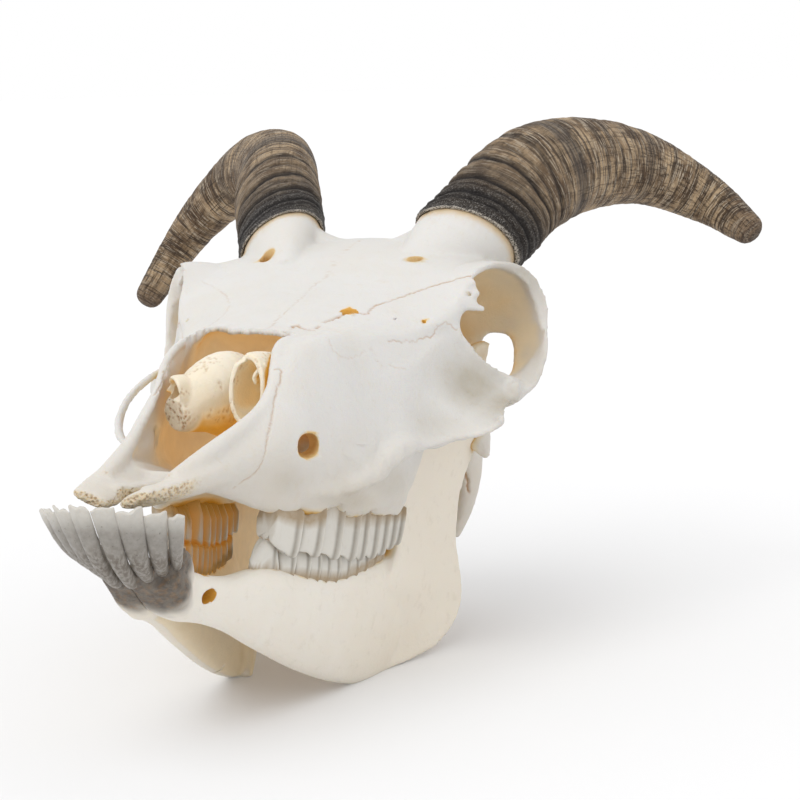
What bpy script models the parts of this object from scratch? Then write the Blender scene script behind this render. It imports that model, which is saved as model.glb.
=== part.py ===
"""A ram's skull with its two lower jaws and its two horn sheaths, lying as it rests on a table.

Everything is designed in the skull's own frame, in millimetres: the chewing surface of the cheek
teeth is z = 0, the front of the first upper cheek tooth is y = 0, +Y runs to the back of the head,
+Z to the brow and +X to the animal's left. The last function tips the whole skull nose up until
the two lower jaws lie on their lower borders, turns millimetres into metres and sets the lowest
point on the floor.
"""

import math

import bmesh
import bpy
import numpy as np
from mathutils import Matrix, Vector

# ---------------------------------------------------------------- driving dimensions, in mm
GAP = 0.3                    # clearance between pieces that touch
NOSE_UP_DEG = 12.5           # slope of the jaws' lower borders, so the tilt at rest
REST_DEPTH = 60.4            # from the frame's origin down to the table, square to it
SHELL_VOXEL = 1.5            # grain of the fused bone before it is thinned out
CHEEK_ROW = 74.0             # length of the row of six upper cheek teeth
ORBIT = Vector((62.2, 101.0, 80.5))      # middle of the left eye socket's rim
ORBIT_FACING = Vector((0.89, -0.456, 0.01))
ORBIT_HALF_LONG = 22.5
ORBIT_HALF_HIGH = 21.0
HORN_FLATNESS = (0.78, 0.92)             # section's short axis over its long one, base and tip
SHEATH_WALL = 2.6
CORE_REACH = 0.2             # how far up the sheath the bony core goes
SHEATH_HOLLOW = 0.62         # how far up the sheath is hollow
SHEATH_RIM = -0.008          # where the sheath begins, as a share of its length
JAW_TRIANGLES = 740          # what is left of each bone after thinning out
CRANIUM_TRIANGLES = 4150
RIDGE_TOP = 117.0            # height of the poll between the horns

BONE = (0.86, 0.84, 0.78, 1.0)
JAW_BONE = (0.84, 0.79, 0.68, 1.0)
INNER_BONE = (0.83, 0.66, 0.42, 1.0)
HORN = (0.33, 0.26, 0.19, 1.0)


# ---------------------------------------------------------------- curves and rings
def hermite(keys, values, samples):
    """Values on a smooth curve through the keyed ones, with no overshoot to speak of."""
    keys = np.asarray(keys, float)
    values = np.asarray(values, float)
    slopes = np.gradient(values, keys, axis=0)
    out = []
    for s in samples:
        i = int(np.clip(np.searchsorted(keys, s) - 1, 0, len(keys) - 2))
        span = keys[i + 1] - keys[i]
        t = (s - keys[i]) / span
        a = (1 + 2 * t) * (1 - t) ** 2
        b = t * (1 - t) ** 2
        c = t * t * (3 - 2 * t)
        d = t * t * (t - 1)
        out.append(a * values[i] + b * span * slopes[i] + c * values[i + 1] + d * span * slopes[i + 1])
    return np.array(out)


def along(points, count):
    """Evenly keyed samples on a smooth curve through the points, with their unit tangents."""
    points = np.asarray(points, float)
    steps = np.linalg.norm(np.diff(points, axis=0), axis=1)
    keys = np.concatenate([[0.0], np.cumsum(steps)])
    samples = np.linspace(0.0, keys[-1], count)
    places = hermite(keys, points, samples)
    tangents = np.gradient(places, axis=0)
    tangents /= np.linalg.norm(tangents, axis=1, keepdims=True)
    return places, tangents, keys, samples


def add_mesh(name, rings):
    """One closed body through a row of like rings, capped at both ends."""
    shape = bmesh.new()
    rows = [[shape.verts.new(Vector(p)) for p in ring] for ring in rings]
    count = len(rows[0])
    for lower, upper in zip(rows, rows[1:]):
        for i in range(count):
            j = (i + 1) % count
            shape.faces.new((lower[i], lower[j], upper[j], upper[i]))
    shape.faces.new(list(reversed(rows[0])))
    shape.faces.new(rows[-1])
    bmesh.ops.recalc_face_normals(shape, faces=shape.faces)
    mesh = bpy.data.meshes.new(name)
    shape.to_mesh(mesh)
    shape.free()
    return bpy.data.objects.new(name, mesh)


def bar(name, points, wide, thick, towards, count=12, sides=14, power=2.3):
    """A bar with rounded flat sections: its width lies along the given direction."""
    places, tangents, keys, samples = along(points, count)
    wide = hermite(keys, np.broadcast_to(wide, len(points)), samples)
    thick = hermite(keys, np.broadcast_to(thick, len(points)), samples)
    towards = np.asarray(towards, float)
    if towards.ndim == 1:
        towards = np.tile(towards, (len(points), 1))
    facing = hermite(keys, towards, samples)
    rings = []
    for place, tangent, w, t, face in zip(places, tangents, wide, thick, facing):
        across = face - tangent * (face @ tangent)
        across /= np.linalg.norm(across)
        through = np.cross(tangent, across)
        ring = []
        for k in range(sides):
            angle = 2 * math.pi * k / sides
            c = math.copysign(abs(math.cos(angle)) ** (2 / power), math.cos(angle))
            s = math.copysign(abs(math.sin(angle)) ** (2 / power), math.sin(angle))
            ring.append(place + across * c * w / 2 + through * s * t / 2)
        rings.append(ring)
    return add_mesh(name, rings)


def ball(name, centre, radii, turn=(0, 0, 0)):
    """An ellipsoid with its radii, turned by three angles in degrees."""
    shape = bmesh.new()
    bmesh.ops.create_uvsphere(shape, u_segments=24, v_segments=16, radius=1.0)
    mesh = bpy.data.meshes.new(name)
    shape.to_mesh(mesh)
    shape.free()
    turned = Matrix.Rotation(math.radians(turn[2]), 4, "Z")
    turned = turned @ Matrix.Rotation(math.radians(turn[1]), 4, "Y")
    turned = turned @ Matrix.Rotation(math.radians(turn[0]), 4, "X")
    mesh.transform(Matrix.Translation(centre) @ turned @ Matrix.Diagonal((*radii, 1.0)))
    return bpy.data.objects.new(name, mesh)


def smooth_outline(corners, per_side=5):
    """A closed smooth curve through flat corner points."""
    corners = np.asarray(corners, float)
    out = []
    for i in range(len(corners)):
        a, b, c, d = (corners[(i + k) % len(corners)] for k in (-1, 0, 1, 2))
        for t in np.linspace(0, 1, per_side, endpoint=False):
            m1 = (c - a) / 2
            m2 = (d - b) / 2
            out.append(
                (1 + 2 * t) * (1 - t) ** 2 * b + t * (1 - t) ** 2 * m1
                + t * t * (3 - 2 * t) * c + t * t * (t - 1) * m2
            )
    return out


def trunk(name, stations, step=4.0):
    """A body that is the same on both sides, from cross-sections along the head.

    A station is y, then height and half-width at the foot, the flank and the shoulder of its
    section, then the heights of its underside and its top on the midline.
    """
    stations = np.asarray(stations, float)
    keys = stations[:, 0]
    count = int((keys[-1] - keys[0]) / step) + 1
    samples = np.linspace(keys[0], keys[-1], count)
    rings = []
    for y, row in zip(samples, hermite(keys, stations[:, 1:], samples)):
        foot_z, foot, flank_z, flank, shoulder_z, shoulder, under, top = row
        half = [(foot * 0.55, (under + foot_z) / 2), (foot, foot_z), (flank, flank_z)]
        half += [(shoulder, shoulder_z), (shoulder * 0.55, (top * 0.75 + shoulder_z * 0.25))]
        corners = [(0.0, under)] + half + [(0.0, top)] + [(-x, z) for x, z in reversed(half)]
        rings.append([(x, y, z) for x, z in smooth_outline(corners)])
    return add_mesh(name, rings)


def upright_prism(name, corners, low, high):
    return add_mesh(name, [[(x, y, z) for x, y in corners] for z in (low, high)])


def both_sides(points):
    return [(-x, y, z) for x, y, z in points]


def aligned_ball(name, centre, axes, radii):
    """An ellipsoid whose radii lie along three given directions."""
    body = ball(name, (0, 0, 0), (1, 1, 1))
    basis = Matrix([axis * radius for axis, radius in zip(axes, radii)]).transposed().to_4x4()
    body.data.transform(Matrix.Translation(centre) @ basis)
    if basis.determinant() < 0:
        body.data.flip_normals()
    return body


def paired(maker, name, points, *rest, towards=(0, 0, 1), **more):
    """The same bar on the left and mirrored on the right."""
    left = maker(name + "_l", points, *rest, towards=towards, **more)
    flipped = np.asarray(towards, float) * (-1, 1, 1)
    right = maker(name + "_r", both_sides(points), *rest, towards=flipped, **more)
    return [left, right]


def paired_balls(name, centre, radii, turn=(0, 0, 0)):
    x, y, z = centre
    left = ball(name + "_l", centre, radii, turn)
    right = ball(name + "_r", (-x, y, z), radii, (turn[0], -turn[1], -turn[2]))
    return [left, right]


# ---------------------------------------------------------------- fusing and cutting
def kept_side(body, point, normal):
    """The body with all that lies beyond a plane cut away, and the cut closed."""
    shape = bmesh.new()
    shape.from_mesh(body.data)
    geometry = shape.verts[:] + shape.edges[:] + shape.faces[:]
    cut = bmesh.ops.bisect_plane(
        shape, geom=geometry, dist=0.0001, plane_co=point, plane_no=normal, clear_outer=True)
    rim = [item for item in cut["geom_cut"] if isinstance(item, bmesh.types.BMEdge)]
    bmesh.ops.triangle_fill(shape, edges=rim, use_beauty=True)
    bmesh.ops.recalc_face_normals(shape, faces=shape.faces)
    shape.to_mesh(body.data)
    shape.free()
    return body


def evaluated_copy(name, source):
    """The object's mesh with its modifiers worked in, as a new object."""
    bpy.context.scene.collection.objects.link(source)
    graph = bpy.context.evaluated_depsgraph_get()
    mesh = bpy.data.meshes.new_from_object(source.evaluated_get(graph))
    old = source.data
    bpy.data.objects.remove(source)
    bpy.data.meshes.remove(old)
    mesh.name = name
    return bpy.data.objects.new(name, mesh)


def fused(name, pieces, voxel=SHELL_VOXEL, smoothing=4):
    """All pieces as one continuous skin."""
    shape = bmesh.new()
    for piece in pieces:
        shape.from_mesh(piece.data)
        mesh = piece.data
        bpy.data.objects.remove(piece)
        bpy.data.meshes.remove(mesh)
    mesh = bpy.data.meshes.new(name)
    shape.to_mesh(mesh)
    shape.free()
    whole = bpy.data.objects.new(name, mesh)
    remesh = whole.modifiers.new("fuse", "REMESH")
    remesh.mode = "VOXEL"
    remesh.voxel_size = voxel
    if smoothing:
        ease = whole.modifiers.new("ease", "SMOOTH")
        ease.factor = 0.5
        ease.iterations = smoothing
    return evaluated_copy(name, whole)


def combined(body, tool, operation):
    """The body cut by the tool or joined with it."""
    bpy.context.scene.collection.objects.link(tool)
    step = body.modifiers.new("combine", "BOOLEAN")
    step.operation = operation
    step.object = tool
    step.solver = "EXACT"
    result = evaluated_copy(body.name, body)
    mesh = tool.data
    bpy.data.objects.remove(tool)
    bpy.data.meshes.remove(mesh)
    return result


def thinned(body, triangles):
    """The same body with about so many triangles."""
    body.data.calc_loop_triangles()
    step = body.modifiers.new("thin", "DECIMATE")
    step.ratio = min(1.0, triangles / len(body.data.loop_triangles))
    step.use_collapse_triangulate = True
    return evaluated_copy(body.name, body)


def largest_body(body):
    """Drops the crumbs and closed pockets that cutting and joining can leave."""
    shape = bmesh.new()
    shape.from_mesh(body.data)
    left = set(shape.verts)
    islands = []
    while left:
        seed = left.pop()
        island = {seed}
        edge = [seed]
        while edge:
            vert = edge.pop()
            for link in vert.link_edges:
                other = link.other_vert(vert)
                if other not in island:
                    island.add(other)
                    edge.append(other)
        left -= island
        islands.append(island)
    islands.sort(key=len)
    crumbs = [vert for island in islands[:-1] for vert in island]
    bmesh.ops.delete(shape, geom=crumbs, context="VERTS")
    shape.to_mesh(body.data)
    shape.free()
    return body


# ---------------------------------------------------------------- the cranium's bones
def face():
    """Upper jaw bones, from the end of the nose to the eye sockets."""
    return trunk("face", [
        # y, foot z, half, flank z, half, shoulder z, half, underside, top
        (-40, 13.5, 13.5, 19.5, 17.8, 25.0, 14.0, 15.5, 25.0),
        (-20, 11.8, 16.5, 25.0, 24.5, 35.5, 18.0, 15.0, 37.0),
        (-6, 9.5, 20.0, 29.0, 29.0, 44.0, 21.5, 16.0, 47.0),
        (4, 8.5, 22.5, 30.0, 31.5, 53.0, 22.5, 17.0, 57.0),
        (14, 9.0, 25.5, 31.0, 33.5, 60.0, 24.0, 17.5, 65.0),
        (24, 9.5, 28.5, 31.0, 36.0, 64.0, 27.0, 18.0, 68.0),
        (38, 10.0, 32.0, 31.0, 39.5, 67.0, 30.0, 18.0, 71.5),
        (55, 11.0, 35.5, 34.0, 43.5, 70.0, 38.0, 18.0, 79.5),
        (70, 12.0, 37.0, 44.0, 44.5, 75.0, 45.0, 18.0, 87.0),
        (80, 17.0, 33.5, 50.0, 46.0, 79.0, 50.0, 21.0, 91.5),
        (88, 27.0, 26.0, 56.0, 42.0, 84.0, 49.0, 30.0, 95.0),
    ])


def brow():
    """The broad plate of the frontal bones, out to the upper rims of the eye sockets."""
    return trunk("brow", [
        (34, 61.0, 22.0, 64.0, 27.0, 67.0, 27.0, 60.0, 69.0),
        (48, 62.0, 28.0, 67.0, 34.0, 71.0, 33.0, 60.0, 76.5),
        (64, 66.0, 36.0, 71.0, 42.0, 75.0, 41.0, 60.0, 84.5),
        (78, 71.0, 44.0, 78.0, 51.0, 84.0, 49.0, 60.0, 90.5),
        (90, 79.0, 47.0, 89.0, 56.5, 94.5, 52.0, 60.0, 97.0),
        (102, 83.0, 50.0, 94.0, 62.5, 99.5, 57.0, 62.0, 104.5),
        (114, 84.0, 50.0, 94.0, 68.0, 101.5, 58.0, 66.0, 110.0),
        (124, 86.0, 44.0, 96.0, 58.0, 105.0, 50.0, 70.0, 113.5),
        (134, 86.0, 34.0, 95.0, 46.0, 107.0, 42.0, 72.0, RIDGE_TOP - 1.0),
    ])


def braincase():
    """From between the eye sockets back to the nape."""
    return trunk("braincase", [
        (76, 20.0, 15.0, 50.0, 24.0, 84.0, 38.0, 24.0, 86.0),
        (92, 30.0, 11.0, 55.0, 17.0, 88.0, 38.0, 30.0, 94.0),
        (106, 33.0, 11.0, 58.0, 16.0, 92.0, 38.0, 33.0, 102.0),
        (118, 32.0, 14.0, 62.0, 24.0, 98.0, 38.0, 32.0, 110.0),
        (130, 31.0, 18.0, 66.0, 31.5, 103.0, 34.0, 31.0, 115.0),
        (142, 30.0, 21.0, 67.0, 33.0, 99.0, 30.0, 29.5, 111.0),
        (156, 29.0, 23.0, 65.0, 32.0, 90.0, 26.0, 28.0, 103.0),
        (170, 28.0, 24.0, 60.0, 29.0, 80.0, 22.0, 26.5, 93.5),
        (181, 28.0, 22.0, 54.0, 27.0, 72.0, 20.0, 26.0, 84.0),
        (188, 29.0, 17.0, 48.0, 20.0, 62.0, 14.0, 27.0, 70.0),
    ])


def nose_prongs():
    """The two incisive bones that run forward and end in rough plates."""
    route = [(14, -20, 24), (13.5, -38, 19), (12.8, -52, 15.5), (11.5, -64, 13), (8.5, -74, 11.8)]
    pieces = paired(bar, "prong", route, (12, 10, 10, 11, 9), (9, 7, 5.5, 4.5, 4.0), towards=(1, 0, 0.45))
    inner = [(3.2, -30, 16), (2.8, -48, 12.8), (3.4, -66, 11.4)]
    pieces += paired(bar, "palatine_rod", inner, (4.5, 3.6, 3.4), (5, 4, 3.4), towards=(1, 0, 0))
    tip_plate = [(10.5, -58, 13.2), (9.2, -67, 12.2), (8.2, -75, 11.4)]
    pieces += paired(bar, "tip_plate", tip_plate, (9, 13, 12.5), (4, 4.2, 3.6), towards=(1, 0.25, 0.1))
    return pieces


def cheek():
    """The cheekbone's body under the eye socket and the arch behind it."""
    crest = [(40, 46, 33), (47.5, 56, 38), (56, 66, 43), (66, 75.5, 47), (70, 81, 50), (69.5, 91, 55.5)]
    crest += [(65.5, 104, 57), (59, 117, 56.5), (54, 130, 57.5), (46, 144, 60), (34, 156, 60)]
    heights = (13, 13, 14, 17, 16.5, 11, 9.5, 9, 9, 9, 10)
    widths = (9, 8, 6, 5, 4.5, 4.5, 4.5, 4.5, 5, 6, 10)
    pieces = paired(bar, "cheek_crest", crest, heights, widths, towards=(-0.1, 0, 1), count=26)
    shelf = [(38, 60, 47), (46, 72, 53), (54, 82, 57), (62, 92, 58.5)]
    pieces += paired(bar, "socket_shelf", shelf, (26, 26, 24, 16), (14, 9, 6, 4.5), towards=(0.7, -0.5, 0.1))
    post = [(64.5, 106, 55), (69.5, 117, 62), (70.5, 120.5, 75), (67, 120, 90)]
    pieces += paired(bar, "post_bar", post, (14, 12, 13, 20), (4, 3.6, 3.8, 5), towards=(0.89, -0.45, 0))
    root = [(28, 136, 63), (40, 136, 61.5), (49, 139, 61)]
    pieces += paired(bar, "arch_root", root, (22, 15, 9), (8, 7, 6), towards=(0, 1, 0))
    pieces += paired_balls("cheek_boss", (41, 46, 29), (5.5, 10, 7))
    return pieces


def socket_ring(name, side):
    """The rim of an eye socket, widest behind, where its bar comes down to the cheekbone."""
    facing = ORBIT_FACING.normalized()
    level = Vector((0, 0, 1)).cross(facing).normalized()
    upward = facing.cross(level)
    rings = []
    count = 28
    for k in range(count):
        angle = 2 * math.pi * k / count
        back = math.cos(angle)
        high = math.sin(angle)
        out = level * back * ORBIT_HALF_LONG + upward * high * ORBIT_HALF_HIGH
        out *= 1 + 0.2 * max(0.0, back) * max(0.0, high)
        depth = 4.5 + 2.5 * max(0.0, back) + 3.5 * max(0.0, high)
        middle = ORBIT + out - facing * (depth - 1.0)
        radial = out.normalized()
        ring = []
        for j in range(10):
            turn = 2 * math.pi * j / 10
            ring.append(middle + radial * math.cos(turn) * 2.0 + facing * math.sin(turn) * depth)
        rings.append(ring)
    shape = bmesh.new()
    rows = [[shape.verts.new((p.x * side, p.y, p.z)) for p in ring] for ring in rings]
    for k in range(count):
        a, b = rows[k], rows[(k + 1) % count]
        for j in range(10):
            i = (j + 1) % 10
            shape.faces.new((a[j], a[i], b[i], b[j]))
    bmesh.ops.recalc_face_normals(shape, faces=shape.faces)
    mesh = bpy.data.meshes.new(name)
    shape.to_mesh(mesh)
    shape.free()
    return bpy.data.objects.new(name, mesh)


def socket_wall(name, side):
    """The thin bone that closes the upper back of an eye socket."""
    facing, level, upward = socket_axes(side)
    centre = Vector((ORBIT.x * side, ORBIT.y, ORBIT.z)) - facing * 9
    wall = aligned_ball(name, centre, (facing, level, upward), (30, ORBIT_HALF_LONG + 1, ORBIT_HALF_HIGH + 1))
    front = Vector((ORBIT.x * side, ORBIT.y, ORBIT.z)) - facing * 2
    wall = kept_side(wall, front, facing)
    return kept_side(wall, Vector(((ORBIT.x - 5) * side, 0, ORBIT.z)), Vector((0.5 * side, 0, -0.87)))


def socket_axes(side):
    """Outward, backward and upward directions of an eye socket's rim."""
    facing = ORBIT_FACING.normalized()
    level = Vector((0, 0, 1)).cross(facing).normalized()
    upward = facing.cross(level)
    return [Vector((axis.x * side, axis.y, axis.z)) for axis in (facing, level, upward)]


def underside():
    """Skull base: basilar bar, ear capsules, jugular processes, condyles and palate wings."""
    basilar = [(0, 118, 31), (0, 150, 28), (0, 186, 29)]
    pieces = [bar("basilar", basilar, (20, 22, 26), (10, 11, 12), towards=(1, 0, 0))]
    pieces += paired_balls("ear_capsule", (19, 158, 22), (7.5, 11, 8.5), (0, 20, 0))
    pieces += paired_balls("condyle", (12.5, 189, 33), (9, 8.5, 11), (20, 0, 20))
    jugular = [(28, 174, 46), (29, 177, 31), (26.5, 179, 18), (22.5, 179, 7)]
    pieces += paired(bar, "jugular", jugular, (20, 13, 9, 5.5), (8, 6, 5, 4), towards=(0.2, 1, 0))
    nape = [(-31, 172, 58), (-22, 181, 77), (0, 185.5, 85), (22, 181, 77), (31, 172, 58)]
    pieces.append(bar("nape_crest", nape, (12, 9, 9, 9, 12), (7, 7, 8, 7, 7), towards=(0, 0.8, 0.6)))
    pieces += paired_balls("mastoid", (28.5, 170, 50), (6.5, 9, 16), (10, 0, 0))
    wing = [(15, 70, 22), (13.5, 92, 24), (13, 114, 29)]
    pieces += paired(bar, "palate_wing", wing, (22, 30, 26), (5, 3.6, 4), towards=(0.1, 0, 1))
    return pieces


# ---------------------------------------------------------------- horns
HORN_LONG_RADII = (21.2, 20.2, 17.4, 14.0, 9.8, 6.2)
LEFT_HORN = [
    (37.5, 129, 114.2), (55, 153.5, 140), (69.5, 184, 151.5), (85.5, 211, 153.5), (107.5, 225.5, 143.5), (128, 221, 128.5)]
RIGHT_HORN = [
    (-35.5, 129, 115), (-48, 158, 134), (-62, 189, 151), (-85, 215, 154.5), (-111, 227, 137), (-132.5, 221, 99.5)]


def horn_across(points, tangents):
    """The section's short axis at each tangent, level at the base and carried along untwisted."""
    lean = Vector(points[-1]) - Vector(points[0])
    axis = np.array(Vector((lean.x, lean.y, 0)).normalized().cross(Vector((0, 0, 1))))
    axes = []
    for tangent in tangents:
        axis = axis - tangent * (axis @ tangent)
        axis = axis / np.linalg.norm(axis)
        axes.append(axis)
    return np.array(axes)


def horn_rings(points, wall, count, sides, start=0.0, end=1.0):
    """Rings of the sheath's surface, sunk below it by a wall, over a stretch of its length."""
    places, tangents, keys, samples = along(points, 60)
    radii = hermite(keys, HORN_LONG_RADII, samples)
    across = horn_across(points, tangents)
    rings = []
    for u in np.linspace(start, end, count):
        reach = max(u, 0.0) * keys[-1]
        tangent, short_axis = (hermite(samples, rows, [reach])[0] for rows in (tangents, across))
        place = hermite(samples, places, [reach])[0] + tangent * min(u, 0.0) * keys[-1]
        radius = np.interp(u * keys[-1], samples, radii)
        flat = HORN_FLATNESS[0] + (HORN_FLATNESS[1] - HORN_FLATNESS[0]) * u
        tangent /= np.linalg.norm(tangent)
        short_axis -= tangent * (short_axis @ tangent)
        short_axis /= np.linalg.norm(short_axis)
        long_axis = np.cross(tangent, short_axis)
        ring = []
        for k in range(sides):
            angle = 2 * math.pi * k / sides
            ring.append(
                place + long_axis * math.cos(angle) * (radius - wall)
                + short_axis * math.sin(angle) * (radius * flat - wall)
            )
        rings.append((place, tangent, ring))
    return rings


def horn_core(name, points):
    """The bony core: a collar as wide as the sheath below its rim, and a peg inside it."""
    collar = []
    for sunk, reach in ((9.0, -0.18), (6.0, -0.09), (3.2, SHEATH_RIM - 0.03)):
        collar += horn_rings(points, sunk, 1, 18, reach, reach)
    peg = horn_rings(points, SHEATH_WALL + 1.5, 4, 18, SHEATH_RIM, CORE_REACH)
    rings = [ring for _, _, ring in collar + peg]
    place, tangent, last = peg[-1]
    rings.append([place + (np.array(p) - place) * 0.5 + tangent * 5 for p in last])
    return add_mesh(name, rings)


def sheath_room(points):
    """The space that a sheath takes up near its rim, with some clearance."""
    room = horn_rings(points, -1.0, 5, 18, SHEATH_RIM - 0.008, 0.3)
    return add_mesh("sheath_room", [ring for _, _, ring in room])


def sheath(name, points):
    """The horn sheath: hollow from its rim over the core, solid beyond it."""
    outer = horn_rings(points, 0.0, 13, 14, SHEATH_RIM, 0.985)
    rings = [ring for _, _, ring in outer]
    place, tangent, tip = outer[-1]
    rings.append([place + (np.array(p) - place) * 0.55 + tangent * 2.6 for p in tip])
    body = add_mesh(name, rings)
    hollow = horn_rings(points, SHEATH_WALL, 8, 14, SHEATH_RIM - 0.03, SHEATH_HOLLOW)
    rings = [ring for _, _, ring in hollow]
    place, tangent, last = hollow[-1]
    rings.append([place + (np.array(p) - place) * 0.3 + tangent * 8 for p in last])
    return combined(body, add_mesh("hollow", rings), "DIFFERENCE")


# ---------------------------------------------------------------- hollows of the cranium
def nose_hollow():
    """The nose's airway, open in front and above, where the nasal bones are lost."""
    airway = trunk("airway", [
        (-50, 19.0, 6.0, 22.0, 10.0, 40.0, 13.0, 18.5, 42.0),
        (-20, 19.0, 12.0, 24.0, 17.0, 43.0, 13.5, 19.0, 46.0),
        (-6, 20.5, 15.0, 28.0, 22.5, 53.0, 16.0, 20.0, 57.0),
        (4, 21.0, 18.0, 29.0, 25.5, 58.0, 16.0, 20.5, 63.0),
        (14, 21.5, 20.0, 30.0, 28.0, 59.5, 17.0, 21.0, 62.5),
        (24, 21.5, 21.0, 30.0, 30.5, 62.0, 21.5, 21.0, 65.0),
        (38, 22.0, 22.0, 30.0, 31.0, 63.0, 26.0, 21.5, 67.5),
        (50, 23.0, 18.0, 32.0, 26.0, 62.0, 24.0, 22.0, 69.0),
        (60, 27.0, 12.0, 36.0, 20.0, 58.0, 18.0, 26.0, 66.0),
    ], step=3.0)
    lost_roof = [(-18, -44), (-18, 6), (-22, 17), (-25, 27), (-21, 33), (0, 34), (7, 33)]
    lost_roof += [(7, 8), (16, 4), (16, -44)]
    roof = upright_prism("roof", lost_roof, 53.0, 84.0)
    throat = [(0, 58, 36), (0, 76, 32), (0, 94, 28), (0, 112, 24), (0, 122, 18)]
    passage = bar("throat", throat, (19, 19, 18, 18, 18), (18, 16, 14, 14, 12), towards=(1, 0, 0))
    return [airway, roof, passage]


def socket_hollows():
    """The eye sockets and the funnels behind them."""
    pieces = []
    for side in (1, -1):
        axes = socket_axes(side)
        centre = Vector((ORBIT.x * side, ORBIT.y, ORBIT.z)) - axes[0] * 9
        radii = (27.0, ORBIT_HALF_LONG - 2.0, ORBIT_HALF_HIGH - 2.0)
        pieces.append(aligned_ball("socket", centre, axes, radii))
    funnel = [(50, 104, 79), (38, 112, 74), (28, 120, 68)]
    pieces += paired(bar, "funnel", funnel, (30, 22, 10), (30, 20, 8), towards=(0, 0, 1))
    return pieces


def small_hollows():
    """The braincase and its way out, and the two openings of the cheeks."""
    pieces = [ball("brain", (0, 149, 69), (27.5, 35, 25), (14, 0, 0))]
    way_out = [(0, 160, 56), (0, 178, 46), (0, 204, 38)]
    pieces.append(bar("brain_way", way_out, (20, 19, 19), (20, 18, 18), towards=(1, 0, 0)))
    cheek_hole = [(40, -14, 30), (31, -2, 30), (20, 13, 32)]
    pieces += paired(bar, "cheek_hole", cheek_hole, (6.5, 6.5, 6), (7.5, 7.5, 7), towards=(1, 0, 0))
    return pieces


# ---------------------------------------------------------------- teeth
def cheek_line(y):
    """Half-width of the upper cheek teeth's outer faces."""
    return float(hermite([-2, 20, 45, 74], [21.3, 27.0, 32.3, 36.0], [y])[0])


def bite(y):
    """Height where the outer edges of upper and lower cheek teeth meet."""
    return -2.2 + 3.0 * y / CHEEK_ROW


def lobe_edges():
    """Places along the row of the lobes' middles and of the grooves between them."""
    lengths = [8.0, 9.0, 9.0, 6.5, 6.5, 8.0, 8.0, 9.0, 7.5]
    scale = CHEEK_ROW / sum(lengths)
    edges = np.concatenate([[0.0], np.cumsum(lengths)]) * scale
    places = []
    for start, end in zip(edges, edges[1:]):
        places += [(start + 0.4, 0.0), ((start + end) / 2, 1.0), (end - 0.4, 0.0)]
    return places


def cheek_teeth(name, side, upper):
    """One row of cheek teeth: high crowns, each with one or two ridged and pointed lobes."""
    rings = []
    for y, lobe in lobe_edges():
        width = 6.5 + 5.5 * min(1.0, y / 34.0)
        meet = bite(y)
        outer = cheek_line(y) - 0.6 + 0.9 * lobe
        if upper:
            inner = outer - width
            tip = meet + 2.2 - 3.4 * lobe
            root = 15.0 + 2.0 * y / CHEEK_ROW
            ring = [(outer, root), (outer, tip), (outer - 2.2, tip + 0.6), (outer - 2.6, meet + 0.6)]
            ring += [(inner, meet + 2.4), (inner, root + 2.0)]
        else:
            outer -= 3.6
            inner = outer - width * 0.75
            root = -14.0 + 4.0 * y / CHEEK_ROW
            ring = [(outer, root), (outer, meet - 0.4), (outer - 0.4, meet), ((outer + inner) / 2, meet + 0.8)]
            ring += [(inner, meet + 1.6), (inner, root)]
        shift = 0.0 if upper else -2.0
        rings.append([(x * side, y + shift, z) for x, z in ring])
    return add_mesh(name, rings)


def incisor(name, index, side):
    """One of four front teeth of a side: a curved spade on a narrow root."""
    spread = index + 0.5
    tip_x = 5.45 * spread
    tip = Vector((tip_x, -91.5 + 0.026 * tip_x ** 2, 5.6 - 0.35 * index))
    root = Vector((2.4 + 3.1 * index, -66.0 + 1.2 * index, -14.0 + 1.6 * index))
    fan = Vector((tip_x - root.x, tip.y - root.y, 0.0)).normalized()
    across = Vector((-fan.y, fan.x, 0.0))
    if across.x < 0:
        across.negate()
    rings = []
    half_widths = (1.3, 1.65, 2.1, 2.38, 2.45)
    half_depths = (2.0, 2.2, 1.9, 1.3, 0.5)
    for t, half, depth in zip((0.0, 0.3, 0.62, 0.86, 1.0), half_widths, half_depths):
        place = root.lerp(tip, t)
        place.z -= 3.2 * math.sin(math.pi * t)
        run = (tip - root).normalized()
        through = run.cross(across).normalized()
        ring = []
        for k in range(8):
            angle = 2 * math.pi * k / 8
            p = place + across * math.cos(angle) * half + through * math.sin(angle) * depth
            ring.append((max(p.x, GAP / 2) * side, p.y, p.z))
        rings.append(ring)
    return add_mesh(name, rings)


# ---------------------------------------------------------------- lower jaws
def ramus_lean(y, z):
    """How far from the midline the upright part of the left jaw stands."""
    above = float(hermite([-10, 20, 36, 52, 80], [36.5, 35.8, 38.5, 42.5, 44.0], [max(z, -10)])[0])
    above += (y - 130.0) * 0.08
    below = 23.5 + (y - 88.0) * 0.36
    blend = max(0.0, min(1.0, (z + 38.0) / 30.0))
    blend = blend * blend * (3 - 2 * blend)
    return below + (above - below) * blend


def ramus(side):
    """The broad upright plate with the jaw's angle, its joint head and its hooked process."""
    outline = [
        (76, -8), (88, 0), (93, 12), (97, 26), (102, 40), (107, 54), (111, 66), (117, 74.5), (123.5, 76),
        (122.5, 66), (122, 57), (126, 49), (132, 50), (139, 50), (140.5, 43), (137, 33), (133.5, 20),
        (134, 4), (136, -8), (134, -18), (130, -28), (123, -34.8), (104, -39), (88, -42.6), (70, -46.5)]
    flat = add_mesh("ramus", [[(x, y, z) for y, z in outline] for x in (-2.6, 2.6)])
    plate = fused("ramus", [flat], 1.4, 2)
    for vert in plate.data.vertices:
        rim = 1.0 + 0.35 * max(0.0, min(1.0, (-20 - vert.co.z) / 12))
        vert.co.x = (vert.co.x * rim + ramus_lean(vert.co.y, vert.co.z)) * side
    if side < 0:
        plate.data.flip_normals()
    return plate


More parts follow.
